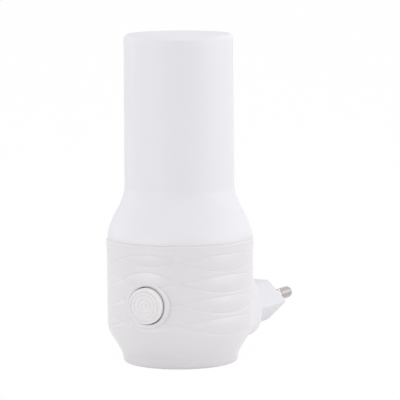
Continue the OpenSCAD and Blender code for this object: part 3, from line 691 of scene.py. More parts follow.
def stripe(material, axis, low, high):
    """Mask of the part of a piece between two places along an axis, in millimetres."""
    direction = tuple(1.0 if name == axis else 0.0 for name in "xyz")
    return use(Tree(material.node_tree), stripe_group(), Direction=direction,
               Centre=(low + high) / 2 * MM, Half_Width=(high - low) / 2 * MM)


def bare_metal(material, *ranges):
    """Shows tinned metal on the given ranges (axis, low, high) of a painted piece."""
    t = Tree(material.node_tree)
    mask = stripe(material, *ranges[0])
    for place in ranges[1:]:
        mask = t.math("MAXIMUM", mask, stripe(material, *place))
    paint_over(material, mask, (0.68, 0.67, 0.65))
    t.fill(principled(material), {"Metallic": mask})


# ---------------------------------------------------------------- housing

def soft_min(a, b, reach):
    """The lesser of two distances, with the corner between them rounded over a reach."""
    share = np.clip(0.5 + 0.5 * (b - a) / reach, 0, 1)
    return b + (a - b) * share - reach * share * (1 - share)


def soft_max(a, b, reach):
    return -soft_min(-a, -b, reach)


def smooth_step(x, x0, x1):
    share = np.clip((x - x0) / (x1 - x0), 0, 1)
    return share * share * (3 - 2 * share)


def wall_radius(z):
    """Radius of the housing's outer wall at a height."""
    z = np.asarray(z, float)
    slope = math.tan(CONE_ANGLE)
    corner_z = FOOT_H + (BASE_R - FOOT_R) / slope
    shoulder_z = corner_z + SHOULDER_ROUND * math.tan(CONE_ANGLE / 2)
    cone_top = shoulder_z - SHOULDER_ROUND * math.sin(CONE_ANGLE)
    bottom_r = FOOT_R - FOOT_LEAN
    foot_arc = bottom_r - FOOT_ROUND + np.sqrt(
        np.clip(FOOT_ROUND ** 2 - (FOOT_ROUND - z) ** 2, 0, None))
    foot_wall = bottom_r + (z - FOOT_ROUND) / (FOOT_H - FOOT_ROUND) * FOOT_LEAN
    cone = FOOT_R + (z - FOOT_H) * slope
    shoulder = BASE_R - SHOULDER_ROUND + np.sqrt(
        np.clip(SHOULDER_ROUND ** 2 - (shoulder_z - z) ** 2, 0, None))
    rise = np.clip((z - BASE_H + RIM_FLARE_H) / (RIM_FLARE_H - RIM_BAND_H), 0, 1)
    flare = BASE_R + RIM_FLARE * (0.5 - 0.5 * np.cos(np.pi * rise))
    chamfer = BASE_R + RIM_FLARE - (z - BASE_H + RIM_CHAMFER) * RIM_SETBACK / RIM_CHAMFER
    radius = np.where(z > FOOT_ROUND, soft_max(foot_wall, cone, FOOT_SOFT), foot_arc)
    radius = np.where(z == FOOT_ROUND, foot_wall, radius)
    radius = np.where(z > cone_top, shoulder, radius)
    radius = np.where(z > shoulder_z, flare, radius)
    return np.where(z > BASE_H - RIM_CHAMFER, np.minimum(flare, chamfer), radius)


def skin_distance(radius, angle, z, blend):
    """Signed distance to the housing with its boss; angle is measured from +Y."""
    around = np.abs(angle)
    x = np.abs(radius * np.sin(angle))
    y = radius * np.cos(angle)
    wall = radius - wall_radius(z)
    cone = np.hypot(x, z - PLUG_Z) - BOSS_R - math.tan(BOSS_FLARE) * (BOSS_REACH - y)
    top = soft_max(y - BOSS_REACH, cone * math.cos(BOSS_FLARE), RIM_BLEND)
    corner = np.hypot(np.maximum(radius - BOSS_OUTER_R + BOSS_UNDER_ROUND, 0),
                      np.maximum(BOSS_UNDER_Z + BOSS_UNDER_ROUND - z, 0))
    side = np.hypot(np.maximum(x - BOSS_SIDE_X, 0),
                    np.maximum(BOSS_UNDER_Z + BOSS_SIDE_ROUND - z, 0))
    under = soft_max(corner - BOSS_UNDER_ROUND, side - BOSS_SIDE_ROUND, UNDER_BLEND)
    slant = 1 / np.maximum(np.sin(around), 1e-6) - 1 / math.sin(TANGENT_ANGLE)
    boss = np.maximum(soft_max(top, under, RIM_BLEND), radius - wall_radius(z) * (1 + slant))
    fade_start, fade_end = (TANGENT_ANGLE - before for before in BLEND_FADE)
    reach = blend * (1 - smooth_step(around, fade_start, fade_end))
    reach = reach * (LOW_BLEND + (1 - LOW_BLEND) * smooth_step(z, *LOW_BLEND_Z))
    both = soft_min(wall, boss, np.maximum(reach, 1e-3))
    return np.where(around > TANGENT_ANGLE, wall, both)


def skin_radius(angle, z, blend, inset=0.0):
    """Distance from the lamp's axis to the skin, by halving a range that holds it."""
    least_r = 12.0
    most_r = 34.0
    halvings = 44
    angle, z = np.broadcast_arrays(np.asarray(angle, float), np.asarray(z, float))
    inner = np.full(angle.shape, least_r)
    outer = np.full(angle.shape, most_r)
    for _ in range(halvings):
        middle = (inner + outer) / 2
        inside = skin_distance(middle, angle, z, blend) < -inset
        inner = np.where(inside, middle, inner)
        outer = np.where(inside, outer, middle)
    return (inner + outer) / 2


def around_axis(radius, angle, z):
    """Points around the lamp's axis; angle is measured from +Y."""
    return np.stack([radius * np.sin(angle), radius * np.cos(angle), z], axis=-1)


# Interlacing waves: four rows of paired lines that cross on both sides of the button, swing
# apart along the sides and end at the boss. The upper row goes on over the boss. Angles are
# in degrees from the button.
CROSSING = 25.0
LAST_CROSSING = 140.0
FADE_START = 92.0
FADE_END = 104.5
BOSS_EDGE = 104.8
SIDE_RISE = 1.7
SIDE_FALL = 3.5
RISE_SKEW = 0.3
FALL_SKEW = 0.2
BACK_RISE = 1.6
BACK_FALL = 0.9
# Height of a row's crossings, then how far its lines swing up and down in front
WAVE_ROWS = (
    (35.7, 2.1, 1.6),
    (28.85, 3.4, 1.6),
    (22.1, 1.8, 1.8),
    (15.05, 1.0, 1.25),
)
# The skin's columns of points, and its rows: at fixed heights below the waves and at the rim,
# at steps across each line with their least distances from the middle of a pair of lines, and
# evenly between these
COLUMNS = 450
FOOT_ROWS = (0, 0.03, 0.12, 0.27, 0.48, FOOT_ROUND, 1.6, 2.1, 2.5, 2.8)
CONE_ROWS = (FOOT_H, 3.4, 3.7, 4.1, 4.6, 6.2, 7.8, 9.2)
LEAST_SPREADS = (0.02, 0.04, 0.06, 0.08, 0.11, 0.2, 0.3)
FILL_ROWS = (3, 4, 4, 4)
TOP_FILL_ROWS = 4
TOP_ROW_DROP = 1.4
RIM_EDGE = BASE_H - RIM_CHAMFER
RIM_ROWS = (RIM_EDGE - 0.05, RIM_EDGE, BASE_H - 0.04, BASE_H)
HOLE_EDGE_DROP = 0.15


def wave_lines(row, azimuth):
    """Heights of a row's upper and lower line at azimuths in degrees from the button."""
    node_z, front_rise, front_fall = row
    around = np.abs(azimuth)
    side = np.pi * np.clip((around - CROSSING) / (LAST_CROSSING - CROSSING), 0, 1)
    front = np.cos(np.pi / 2 * np.clip(around / CROSSING, 0, 1))
    back = np.cos(np.pi / 2 * np.clip((180 - around) / (180 - LAST_CROSSING), 0, 1))
    swings = []
    for at_front, at_side, skew, at_back in (
            (front_rise, SIDE_RISE, RISE_SKEW, BACK_RISE),
            (front_fall, SIDE_FALL, FALL_SKEW, BACK_FALL)):
        swing = at_side * (np.sin(side) + skew * np.sin(2 * side))
        swing = np.where(around < CROSSING, at_front * front, swing)
        swings.append(np.where(around > LAST_CROSSING, at_back * back, swing))
    return node_z + swings[0], node_z - swings[1]


def groove(height, line, azimuth_step, width, depth):
    """Depth of one engraved line."""
    slope = np.gradient(line, math.radians(azimuth_step) * BASE_R)
    distance = np.abs(height - line) / np.sqrt(1 + slope ** 2)
    return depth * (0.5 + 0.5 * np.cos(np.pi * np.clip(distance / width, 0, 1)))


def skin_rows(azimuth, width):
    """Heights of the skin's rows of points, bunched along the engraved lines, and the rows
    at which the hole for the boss starts and ends."""
    flat = np.ones_like(azimuth)
    rows = [flat * z for z in FOOT_ROWS + CONE_ROWS]
    hole_low = len(FOOT_ROWS)
    steps = np.linspace(-1, 1, len(LEAST_SPREADS)) * width
    below = rows[-1]
    for row, fill in zip(WAVE_ROWS[::-1], FILL_ROWS):
        upper, lower = wave_lines(row, azimuth)
        middle = (upper + lower) / 2
        spreads = [np.maximum((upper - lower) / 2 + s, m) for s, m in zip(steps, LEAST_SPREADS)]
        group = [middle - spread for spread in spreads[::-1]]
        group += [middle] + [middle + spread for spread in spreads]
        rows += [below + (group[0] - below) * k / (fill + 1) for k in range(1, fill + 1)]
        if row is WAVE_ROWS[0]:
            hole_high = len(rows)
            rows.append(group[0] - HOLE_EDGE_DROP)
        rows += group
        below = group[-1]
    top = flat * (BASE_H - TOP_ROW_DROP)
    rows += [below + (top - below) * k / TOP_FILL_ROWS for k in range(1, TOP_FILL_ROWS + 1)]
    rows += [flat * z for z in RIM_ROWS]
    return np.array(rows), hole_low, hole_high


def housing_skin(width, depth, blend):
    """Closed outer skin: a ring of columns, and behind it a patch of spokes over the boss."""
    step = 360.0 / COLUMNS
    azimuth = -180 + step * np.arange(COLUMNS)
    heights, low, high = skin_rows(azimuth, width)
    cut = np.zeros_like(heights)
    fade = 1 - smooth_step(np.abs(azimuth), FADE_START, FADE_END)
    for row in WAVE_ROWS:
        shown = 1.0 if row is WAVE_ROWS[0] else fade
        for line in wave_lines(row, azimuth):
            cut = np.maximum(cut, shown * groove(heights, line, step, width, depth))
    radius = wall_radius(heights) - cut
    turn = np.radians(azimuth)
    points = around_axis(radius, turn, heights) * (1, -1, 1)
    points = points.reshape(-1, 3).tolist()
    index = np.arange(heights.size).reshape(heights.shape)
    left = round((180 - BOSS_EDGE) / step)
    right = COLUMNS - left
    faces = grid_faces(index, lambda i, j: low <= i < high and not left <= j < right)
    # Edge of the hole behind, once around
    behind = [*range(right, COLUMNS), *range(left + 1)]
    edge = [*index[low, behind], *index[low + 1:high + 1, left],
            *index[high, behind[-2::-1]], *index[low + 1:high, right][::-1]]
    rim = np.array([points[v] for v in edge])
    previous = edge
    for ring in boss_spokes(np.arctan2(rim[:, 0], rim[:, 1]), rim[:, 2], blend):
        current = range(len(points), len(points) + len(edge))
        points += ring.tolist()
        faces += [(previous[a - 1], previous[a], current[a], current[a - 1])
                  for a in range(len(edge))]
        previous = current
    obj = make_object("housing", points, faces + [previous])
    face_outwards(obj)
    return obj


def boss_spokes(rim_angle, rim_z, blend):
    """Rings of points from the edge of the hole inwards, closer where the skin bends."""
    samples = 700
    rings = 44
    inner_share = 0.12
    bend_cost = 2.2
    share = np.linspace(1, inner_share, samples)[:, None]
    angle = rim_angle[None, :] * share
    z = PLUG_Z + (rim_z[None, :] - PLUG_Z) * share
    radius = skin_radius(angle, z, blend)
    radius[0] = wall_radius(rim_z)
    path = around_axis(radius, angle, z)
    move = np.diff(path, axis=0)
    span = np.linalg.norm(move, axis=-1)
    heading = move / np.maximum(span, 1e-9)[..., None]
    bend = np.linalg.norm(np.diff(heading, axis=0), axis=-1)
    cost = span + bend_cost * np.concatenate([bend, bend[-1:]])
    travelled = np.concatenate([np.zeros((1, cost.shape[1])), np.cumsum(cost, axis=0)])
    share_of = travelled / travelled[-1]
    places = np.linspace(0, 1, rings + 1)[1:]
    columns = [[np.interp(places, share_of[:, j], path[:, j, axis]) for axis in range(3)]
               for j in range(path.shape[1])]
    return np.array(columns).transpose(2, 0, 1)


def inner_core(blend):
    """Solid that runs inside the housing's wall and out of its open top."""
    inset = 0.55
    top = 35.4
    mouth = (36.2, 42.0)
    mouth_r = 23.35
    rows = 64
    columns = 180
    heights = np.concatenate([np.linspace(inset, top, rows), mouth])
    angles = np.linspace(-math.pi, math.pi, columns, endpoint=False)
    z, angle = np.meshgrid(heights, angles, indexing="ij")
    radius = skin_radius(angle, np.minimum(z, top), blend, inset)
    radius = np.where(z > top, mouth_r, radius)
    points = around_axis(radius, angle, z).reshape(-1, 3).tolist()
    index = np.arange(z.size).reshape(z.shape)
    obj = make_object("core", points, grid_faces(index))
    face_outwards(obj)
    return obj


def plug_section(grow):
    """The plug's flat hexagon, with its side vertices rounded."""
    half_t = PLUG_T / 2 + grow
    half_w = PLUG_W / 2 + grow * math.sqrt(2)
    round_x = half_w - PLUG_VERTEX_ROUND * math.sqrt(2)
    half = arc(round_x, 0, PLUG_VERTEX_ROUND, -45, 45, 8)
    half += [(half_w - half_t, half_t), (half_t - half_w, half_t)]
    return half + [(-x, -z) for x, z in half]


class NIGHTLIGHT_OT_housing(Operator):
    """Make the housing: waves, bezel, and the boss that runs softly into the wall"""

    bl_idname = "nightlight.housing"
    bl_label = "Housing"

    def execute(self, context):
        sizes = props().sizes
        material = plastic("housing_moulding", props().colours.housing, rough=(0.29, 0.35),
                           specular=0.7)
        blend = sizes.boss_blend / MM
        skin = housing_skin(sizes.wave_width / MM, sizes.wave_depth / MM, blend)
        air = inner_core(blend)
        combine(air, frame_copy("base_housing", "solid_housing"), "DIFFERENCE")
        corner = arc(BEZEL_R - BEZEL_ROUND, BEZEL_FACE - BEZEL_ROUND, BEZEL_ROUND, 0, 90, 6)
        front = BEZEL_FACE + HOLE_PAST
        chamfer_r = HOLE_R + HOLE_CHAMFER
        profiles = {
            "bezel": [(0, BEZEL_BACK), (BEZEL_R, BEZEL_BACK)] + corner + [(0, BEZEL_FACE)],
            "hole": [(0, HOLE_BACK), (HOLE_R, HOLE_BACK), (HOLE_R, BEZEL_FACE - HOLE_CHAMFER),
                     (chamfer_r, BEZEL_FACE), (chamfer_r + HOLE_PAST, front), (0, front)],
        }
        bezel, hole = (turned_piece(name, profile, MEDIUM_SEGMENTS, material,
                                    along_front(BUTTON_Z)) for name, profile in profiles.items())
        pocket = prism("pocket", plug_section(PLUG_GAP), SEAT_Y + SEAT_ROOM,
                       BOSS_REACH + CUT_PAST, PLUG_Z)
        combine(skin, bezel, "UNION")
        for cut in (air, hole, pocket):
            combine(skin, cut, "DIFFERENCE")
        finish_piece(skin, "lamp", "housing_plastic", material, "base_housing", angle=32)
        return {"FINISHED"}


# ---------------------------------------------------------------- diffuser

def tube_profile(wall, flare_h, top_round, reach):
    """Profile of the tube, before its foot is belled out by the reach: down the inside,
    around the skirt and up the outside."""
    flare_top = BASE_H + flare_h
    shoulder = LAMP_H - top_round
    roof = LAMP_H - wall
    skirt_in = SKIRT_R - wall - reach
    skirt_out = SKIRT_R - reach
    ledge = BASE_H + SKIRT_OVERLAP
    flare = [BASE_H + flare_h * i / FLARE_STEPS for i in range(1, FLARE_STEPS + 1)]
    straight = [(TUBE_R - TUBE_DRAFT * i / TUBE_STEPS,
                 flare_top + (shoulder - flare_top) * i / TUBE_STEPS)
                for i in range(TUBE_STEPS + 1)]
    inside = [(0, roof), (TUBE_TOP_R - TOP_FLAT, roof), (TUBE_TOP_R - top_round, roof),
              (TUBE_TOP_R - wall, shoulder)]
    inside += [(r - wall, z) for r, z in straight[-2::-1]]
    inside += [(TUBE_R - wall, z) for z in flare[-2::-1] if z > ledge + 0.1]
    inside += [(TUBE_R - wall, ledge), (skirt_in, ledge)]
    skirt = [(skirt_in, SKIRT_BOTTOM), (skirt_out, SKIRT_BOTTOM)]
    skirt += arc(skirt_out, BEAD_Z, BEAD_R, -90, 86, 8) + [(skirt_out, BASE_H)]
    outside = [(SEAM_R - SEAM_CUT - reach, BASE_H), (SEAM_R - reach, BASE_H + SEAM_CUT)]
    outside += [(TUBE_R, z) for z in flare] + straight[1:]
    outside += arc(TUBE_TOP_R - top_round, shoulder, top_round, 0, 90, 10)[1:]
    return inside + skirt + outside + [(TUBE_TOP_R - TOP_FLAT, LAMP_H), (0, LAMP_H)]


class NIGHTLIGHT_OT_diffuser(Operator):
    """Make the opal tube: closed top, bell-shaped foot and the skirt that snaps in"""

    bl_idname = "nightlight.diffuser"
    bl_label = "Diffuser"

    def execute(self, context):
        sizes = props().sizes
        reach = SEAM_R - TUBE_R
        profile = tube_profile(sizes.diffuser_wall / MM, sizes.flare_height / MM,
                               sizes.top_round / MM, reach)
        material = plastic("opal_shell", props().colours.diffuser, rough=(0.40, 0.48),
                           grain=0.01, subsurface=0.2, shade_gain=0.985, drift=20.0, ripple=0.6)
        tube = turned_piece("opal_tube", profile, sizes.lathe_segments, material,
                            Flare_Start=BASE_H * MM, Flare_Height=sizes.flare_height,
                            Flare_Reach=reach * MM)
        finish_piece(tube, "lamp", "opal_plastic", material, "diffuser")
        return {"FINISHED"}


# ---------------------------------------------------------------- button

class NIGHTLIGHT_OT_button(Operator):
    """Make the push button: a round cap with turned rings, its flange and its socket"""

    bl_idname = "nightlight.button"
    bl_label = "Push button"

    def execute(self, context):
        sizes = props().sizes
        edge = sizes.cap_round / MM
        depth = sizes.ring_depth / MM
        inner_r = BUTTON_R - BUTTON_WALL
        socket_r = STEM_HALF * math.sqrt(2) + SOCKET_WALL
        socket_back = FLANGE_BACK - SOCKET_LIP
        roof = BUTTON_FACE - BUTTON_WALL
        profile = [(0, BUTTON_FACE)]
        for i in range(sizes.ring_count):
            profile += arc(RING_FIRST + RING_STEP * i, BUTTON_FACE, depth, 180, 360, 6)
        profile += arc(BUTTON_R - edge, BUTTON_FACE - edge, edge, 90, 0, 8)
        profile += [(BUTTON_R, FLANGE_FRONT), (FLANGE_R, FLANGE_FRONT), (FLANGE_R, FLANGE_BACK),
                    (inner_r, FLANGE_BACK), (inner_r, roof), (socket_r, roof),
                    (socket_r, socket_back), (0, socket_back)]
        material = plastic("button_moulding", props().colours.button, rough=(0.29, 0.35))
        cap = turned_piece("button_cap", profile, MEDIUM_SEGMENTS, material,
                           along_front(BUTTON_Z))
        half = STEM_HOLE_HALF
        square = [(-half, -half), (half, -half), (half, half), (-half, half)]
        hole = prism("stem_hole", square, STEM_HOLE_END - roof, CUT_PAST - socket_back, BUTTON_Z)
        combine(cap, hole, "DIFFERENCE")
        finish_piece(cap, "button", "button_plastic", material, "push_button")
        return {"FINISHED"}


# ---------------------------------------------------------------- plug

def soften_plug(body, width):
    """Bevels the edge around the front face and, less, the long edges."""
    corner = (PLUG_W - PLUG_T) / 2 * MM
    with editing(body.data) as mesh:
        long = [e for e in mesh.edges
                if abs(e.verts[0].co.y - e.verts[1].co.y) > 0.01
                and abs(abs(e.verts[0].co.x) - corner) < 1e-5]
        bmesh.ops.bevel(mesh, geom=long, offset=LONG_EDGE_BEVEL * MM, segments=4, profile=0.5,
                        affect="EDGES")
        front = [e for e in mesh.edges
                 if all(abs(v.co.y - PLUG_FRONT * MM) < 1e-6 for v in e.verts)]
        bmesh.ops.bevel(mesh, geom=front, offset=width, segments=5, profile=0.5,
                        affect="EDGES", clamp_overlap=True)
    face_outwards(body)


class NIGHTLIGHT_OT_plug(Operator):
    """Make the flat plug with its pins and their insulating sleeves"""

    bl_idname = "nightlight.plug"
    bl_label = "Plug and pins"

    def execute(self, context):
        colours = props().colours
        material = plastic("plug_moulding", colours.plug, rough=(0.34, 0.46))
        body = prism("plug", plug_section(0), SEAT_Y, PLUG_FRONT, PLUG_Z)
        soften_plug(body, props().sizes.plug_bevel)
        places = {word: along_back(side * PIN_X, PLUG_Z)
                  for side, word in ((-1, "left"), (1, "right"))}
        for place in places.values():
            collar = rod("collar", (SEAT_Y - LOCATOR_H, SEAT_Y + LOCATOR_SUNK), LOCATOR_R,
                         SMALL_SEGMENTS, material, place)
            combine(body, collar, "UNION")
        hole_r = SLEEVE_R + SLEEVE_GAP
        hole_front = PLUG_FRONT + SLEEVE_HOLE_PAST
        hole = [(0, PIN_HOLE_BACK), (PIN_CORE_R, PIN_HOLE_BACK), (PIN_CORE_R, SLEEVE_BACK),
                (hole_r, SLEEVE_BACK), (hole_r, PLUG_FRONT - SLEEVE_HOLE_EDGE),
                (hole_r + SLEEVE_HOLE_EDGE, hole_front), (0, hole_front)]
        for side, place in zip((-1, 1), places.values()):
            cut = turned_piece("pin_hole", hole, SMALL_SEGMENTS, material, place)
            combine(body, cut, "DIFFERENCE")
            ends = (SEAT_Y - CUT_PAST, SEAT_Y + PLUG_SCREW_DEPTH)
            cut = rod("screw_hole", ends, SCREW_R, SCREW_SEGMENTS, material,
                      along_back(0, PLUG_Z + side * PLUG_SCREW_SPACING / 2))
            combine(body, cut, "DIFFERENCE")
        finish_piece(body, "lamp", "plug_plastic", material, "plug_body", angle=25)

        bare = metal("nickel_plate", colours.pin)
        cover = plastic("sleeve_moulding", colours.sleeve)
        dome = [(PIN_R * math.cos(a), PIN_TIP - PIN_DOME_H * (1 - math.sin(a)))
                for a in (math.radians(d) for d in range(0, 90, 6))]
        sleeve = [(PIN_CORE_R, SLEEVE_BACK), (SLEEVE_R - SLEEVE_SOFT, SLEEVE_BACK),
                  (SLEEVE_R, SLEEVE_BACK + SLEEVE_SOFT), (SLEEVE_R, SLEEVE_RING)]
        sleeve += arc(SLEEVE_R - SLEEVE_SOFT, BARE_START - SLEEVE_SOFT, SLEEVE_SOFT, 0, 90, 4)
        sleeve += [(PIN_CORE_R, BARE_START), (PIN_CORE_R, SLEEVE_BACK)]
        for word, place in places.items():
            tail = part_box(f"plug_pin_{word}")[0].y / MM
            pin = [(0, tail), (PIN_CORE_R - PIN_CHAMFER, tail), (PIN_CORE_R, tail + PIN_CHAMFER),
                   (PIN_CORE_R, BARE_START), (PIN_R - PIN_CHAMFER, BARE_START),
                   (PIN_R, BARE_START + PIN_CHAMFER)]
            pin += [(PIN_R, y) for y in PIN_RINGS] + dome + [(0, PIN_TIP)]
            piece = turned_piece(f"pin_{word}", pin, SMALL_SEGMENTS, bare, place)
            finish_piece(piece, "lamp", "pin_metal", bare, f"plug_pin_{word}")
            piece = turned_piece(f"sleeve_{word}", sleeve, SMALL_SEGMENTS, cover, place)
            finish_piece(piece, "lamp", "sleeve_plastic", cover, f"pin_sleeve_{word}")
        return {"FINISHED"}


# ---------------------------------------------------------------- inner pieces

# Leads of the parts on the driver board, their solder and the parts' own sizes
FILM_LEADS = 7.5
CAN_LEADS = 3.5
CAN_R = 4.0
CAN_STRIPE = 0.9
CAN_END = 0.3
BRIDGE_LEADS = (5.1, 4.6)
LEAD_R = 0.3
LEAD_REACH = 1.5
RESISTOR_R = 1.15
RESISTOR_L = 5.2
FUSE_L = 8.0
SOLDER_R = 0.62
SOLDER_TIP_R = 0.34
SOLDER_H = 0.75
SOLDER_POWER = 2.2
SOLDER_SUNK = 0.02
# Spring of the switch: it stands on its seat
SPRING_TURNS = 4.0
SPRING_WIRE_R = 0.2
# Ring of diodes on the light board
DIODES = 6
DIODE_RING_R = 6.5
DIODE_WINDOW_R = 1.1
DIODE_WINDOW_DEPTH = 0.15
GEL_SUNK = 0.01
GEL_GAP = 0.02
GEL_TIP_R = 0.1
GEL_POWER = 0.4
# Colour bands of a resistor: place along it, half width, colour
RESISTOR_BANDS = (
    (-1.7, 0.22, (0.10, 0.035, 0.015)),
    (-0.7, 0.22, (0.01, 0.01, 0.01)),
    (0.3, 0.22, (0.55, 0.12, 0.01)),
    (1.5, 0.25, (0.42, 0.26, 0.05)),
)
BLACK = (0.03, 0.03, 0.032)


def box_mm(node):
    """A node's lowest and highest corners, and its middle, in millimetres."""
    low, high = (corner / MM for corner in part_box(node))
    return low, high, (low + high) / 2


def lead_places():
    """Where the parts' leads come out of the driver board, as (x, z)."""
    places = []
    for node, pitches in (("film_capacitor", (FILM_LEADS, 0)),
                          ("electrolytic_capacitor", (CAN_LEADS, 0)),
                          ("bridge_rectifier", BRIDGE_LEADS)):
        middle = box_mm(node)[2]
        places += [(middle.x + s * pitches[0] / 2, middle.z + u * pitches[1] / 2)
                   for s in (-1, 1) for u in ((-1, 1) if pitches[1] else (0,))]
    for node, inset in (("fuse_resistor", None), ("resistors", RESISTOR_R)):
        low, high, middle = box_mm(node)
        levels = (low.z + inset, high.z - inset) if inset else (middle.z,)
        places += [(x, z) for x in (low.x + LEAD_R, high.x - LEAD_R) for z in levels]
    return places


def studs_piece(name, places, material, base, tip, height, power, tilt=0.0):
    """Small studs on places in millimetres; sizes in millimetres, tilt about X."""
    return nodes_piece(make_object(name, places), studs_tree(), Base_Radius=base * MM,
                       Tip_Radius=tip * MM, Height=height * MM, Flank_Power=power, Tilt=tilt,
                       Material=material)


class NIGHTLIGHT_OT_spring(Operator):
    """Make the switch's spring, a coil of round wire that stands on its seat"""

    bl_idname = "nightlight.spring"
    bl_label = "Switch spring"

    def execute(self, context):
        wire = metal("spring_wire", (0.50, 0.50, 0.51))
        low, high, middle = box_mm("switch_spring")
        radius = (high.x - low.x) / 2 - SPRING_WIRE_R
        reach = high.y - low.y - 2 * SPRING_WIRE_R
        spring = nodes_piece(make_object("spring", [(0, 0, 0)]), coil_tree(),
                             Turns=SPRING_TURNS, Radius=radius * MM,
                             Wire_Radius=SPRING_WIRE_R * MM, Length=reach * MM, Material=wire)
        near = Matrix.Translation((0, 0, (SPRING_WIRE_R - high.y) * MM))
        spring.data.transform(along_front(middle.z) @ near)
        finish_piece(spring, "lamp", "steel", wire, "switch_spring", angle=50)
        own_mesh(spring)
        return {"FINISHED"}


class NIGHTLIGHT_OT_joints(Operator):
    """Put solder on the driver board's leads and yellow gel in the diodes' windows"""

    bl_idname = "nightlight.joints"
    bl_label = "Solder joints and diode gel"

    def execute(self, context):
        solder = metal("solder", (0.62, 0.62, 0.60), rough=(0.14, 0.25), bump_strength=0.15)
        face = box_mm("driver_board")[0].y + SOLDER_SUNK
        joints = studs_piece("solder_joints", [(x, face, z) for x, z in lead_places()], solder,
                             SOLDER_R, SOLDER_TIP_R, SOLDER_H, SOLDER_POWER, math.pi / 2)
        finish_piece(joints, "lamp", "plated_metal", solder, angle=40)
        gel = plastic("phosphor_gel", props().colours.gel, rough=(0.33, 0.4), subsurface=0.2)
        floor = box_mm("leds")[1].z - DIODE_WINDOW_DEPTH - GEL_SUNK
        turns = [2 * math.pi * (i + 0.5) / DIODES for i in range(DIODES)]
        ring = [(DIODE_RING_R * math.cos(a), DIODE_RING_R * math.sin(a), floor) for a in turns]
        domes = studs_piece("diode_gel", ring, gel, DIODE_WINDOW_R - GEL_GAP, GEL_TIP_R,
                            DIODE_WINDOW_DEPTH, GEL_POWER)
        finish_piece(domes, "lamp", "diode", gel, angle=40)
        return {"FINISHED"}


def board_finish(name, base, gap, scale):
    """Lacquered circuit board with the gaps between the copper areas showing through."""
    material = plastic(name, base, grain=0.04)
    paint_over(material, use(Tree(material.node_tree), copper_group(), Scale=scale), gap)
    return material


def behind_board():
    """The range in which the parts' leads run through and in front of the driver board."""
    low, high = box_mm("driver_board")[:2]
    return ("y", low.y - LEAD_REACH, high.y)


def part_finish(name, node, base, body_length=0.0):
    """Finish of a part on the driver board: its body painted, its leads bare."""
    material = plastic(name, base, rough=(0.35, 0.5))
    ranges = [behind_board()]
    if body_length:
        low, high, middle = box_mm(node)
        half = body_length / 2
        ranges += [("x", low.x - 1, middle.x - half), ("x", middle.x + half, high.x + 1)]
    bare_metal(material, *ranges)
    return material


def resistor_finish():
    """Sand-coloured lacquer with colour bands."""
    material = part_finish("resistor_lacquer", "resistors", (0.55, 0.42, 0.26), RESISTOR_L)
    middle = box_mm("resistors")[2].x
    for place, half_width, band in RESISTOR_BANDS:
        mask = stripe(material, "x", middle + place - half_width, middle + place + half_width)
        paint_over(material, mask, band)
    return material


def can_finish():
    """Dark wrap with a pale stripe on one side and a bare metal end."""
    material = plastic("can_wrap", (0.03, 0.035, 0.05), rough=(0.29, 0.35))
    high, middle = box_mm("electrolytic_capacitor")[1:]
    side = middle.x + CAN_R
    mask = stripe(material, "x", side - CAN_STRIPE, side + CAN_STRIPE)
    paint_over(material, mask, (0.5, 0.5, 0.48))
    bare_metal(material, ("y", high.y - CAN_END, high.y + CAN_END), behind_board())
    return material


class NIGHTLIGHT_OT_inside(Operator):
    """Give the pieces inside the lamp their finishes"""

    bl_idname = "nightlight.inside"
    bl_label = "Inner pieces"

    def execute(self, context):
        steel = metal("zinc_steel", (0.55, 0.55, 0.56))
        finishes = {
            "switch_body": plastic("black_moulding", BLACK, rough=(0.35, 0.55), grain=0.05),
            "switch_plunger": plastic("plunger_plastic", (0.75, 0.75, 0.72)),
            "switch_terminals": metal("tinned_metal", (0.72, 0.71, 0.68)),
            "plug_screws": steel,
            "light_tray": plastic("tray_plastic", (0.8, 0.8, 0.79)),
            "tray_screws": steel,
            "led_board": board_finish("white_laminate", (0.78, 0.78, 0.76),
                                      (0.68, 0.68, 0.65), 150.0),
            "leds": plastic("diode_case", (0.80, 0.79, 0.74), rough=(0.33, 0.4)),
            "led_board_screws": steel,
            "driver_board": board_finish("green_laminate", (0.03, 0.20, 0.075),
                                         (0.02, 0.13, 0.05), 190.0),
            "film_capacitor": part_finish("yellow_case", "film_capacitor", (0.62, 0.4, 0.05)),
            "electrolytic_capacitor": can_finish(),
            "bridge_rectifier": part_finish("bridge_moulding", "bridge_rectifier", BLACK),
            "fuse_resistor": part_finish("fuse_lacquer", "fuse_resistor", (0.12, 0.2, 0.12),
                                         FUSE_L),
            "resistors": resistor_finish(),
        }
        for node, name, vinyl in (
                ("live_wire", "brown_vinyl", (0.16, 0.07, 0.035)),
                ("neutral_wire", "blue_vinyl", (0.03, 0.12, 0.45)),
                ("lamp_wire_positive", "red_vinyl", (0.5, 0.03, 0.03)),
                ("lamp_wire_negative", "black_vinyl", (0.02, 0.02, 0.02))):
            finishes[node] = plastic(name, vinyl, rough=(0.35, 0.5), grain=0.03)
        for node, material in finishes.items():
            set_material(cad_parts[node], material)
        return {"FINISHED"}


# ---------------------------------------------------------------- stage

# Soft lamps: place and size in metres, power in watts. They aim at the lamp's middle.
LAMPS = (
    ("lamp_left", (-0.75, -0.15, 0.16), (0.7, 0.3), 0.63),
    ("lamp_right", (0.72, 0.12, 0.16), (0.7, 0.3), 1.45),
    ("lamp_behind", (0.45, 0.65, 0.4), (0.6, 0.8), 0.9),
    ("lamp_front", (-0.3, -0.8, 0.13), (0.6, 0.24), 1.38),
    ("lamp_above", (0.05, -0.1, 1.1), (0.3, 0.3), 2.5),
)
LAMP_AIM = Vector((0, 0, 0.05))
# Light that the surroundings give, and share of plain white that the floor shows
WORLD_LIGHT = 0.60
FLOOR_WHITE = 0.985
FLOOR_HALF = 4000.0
WHITE = (1, 1, 1, 1)
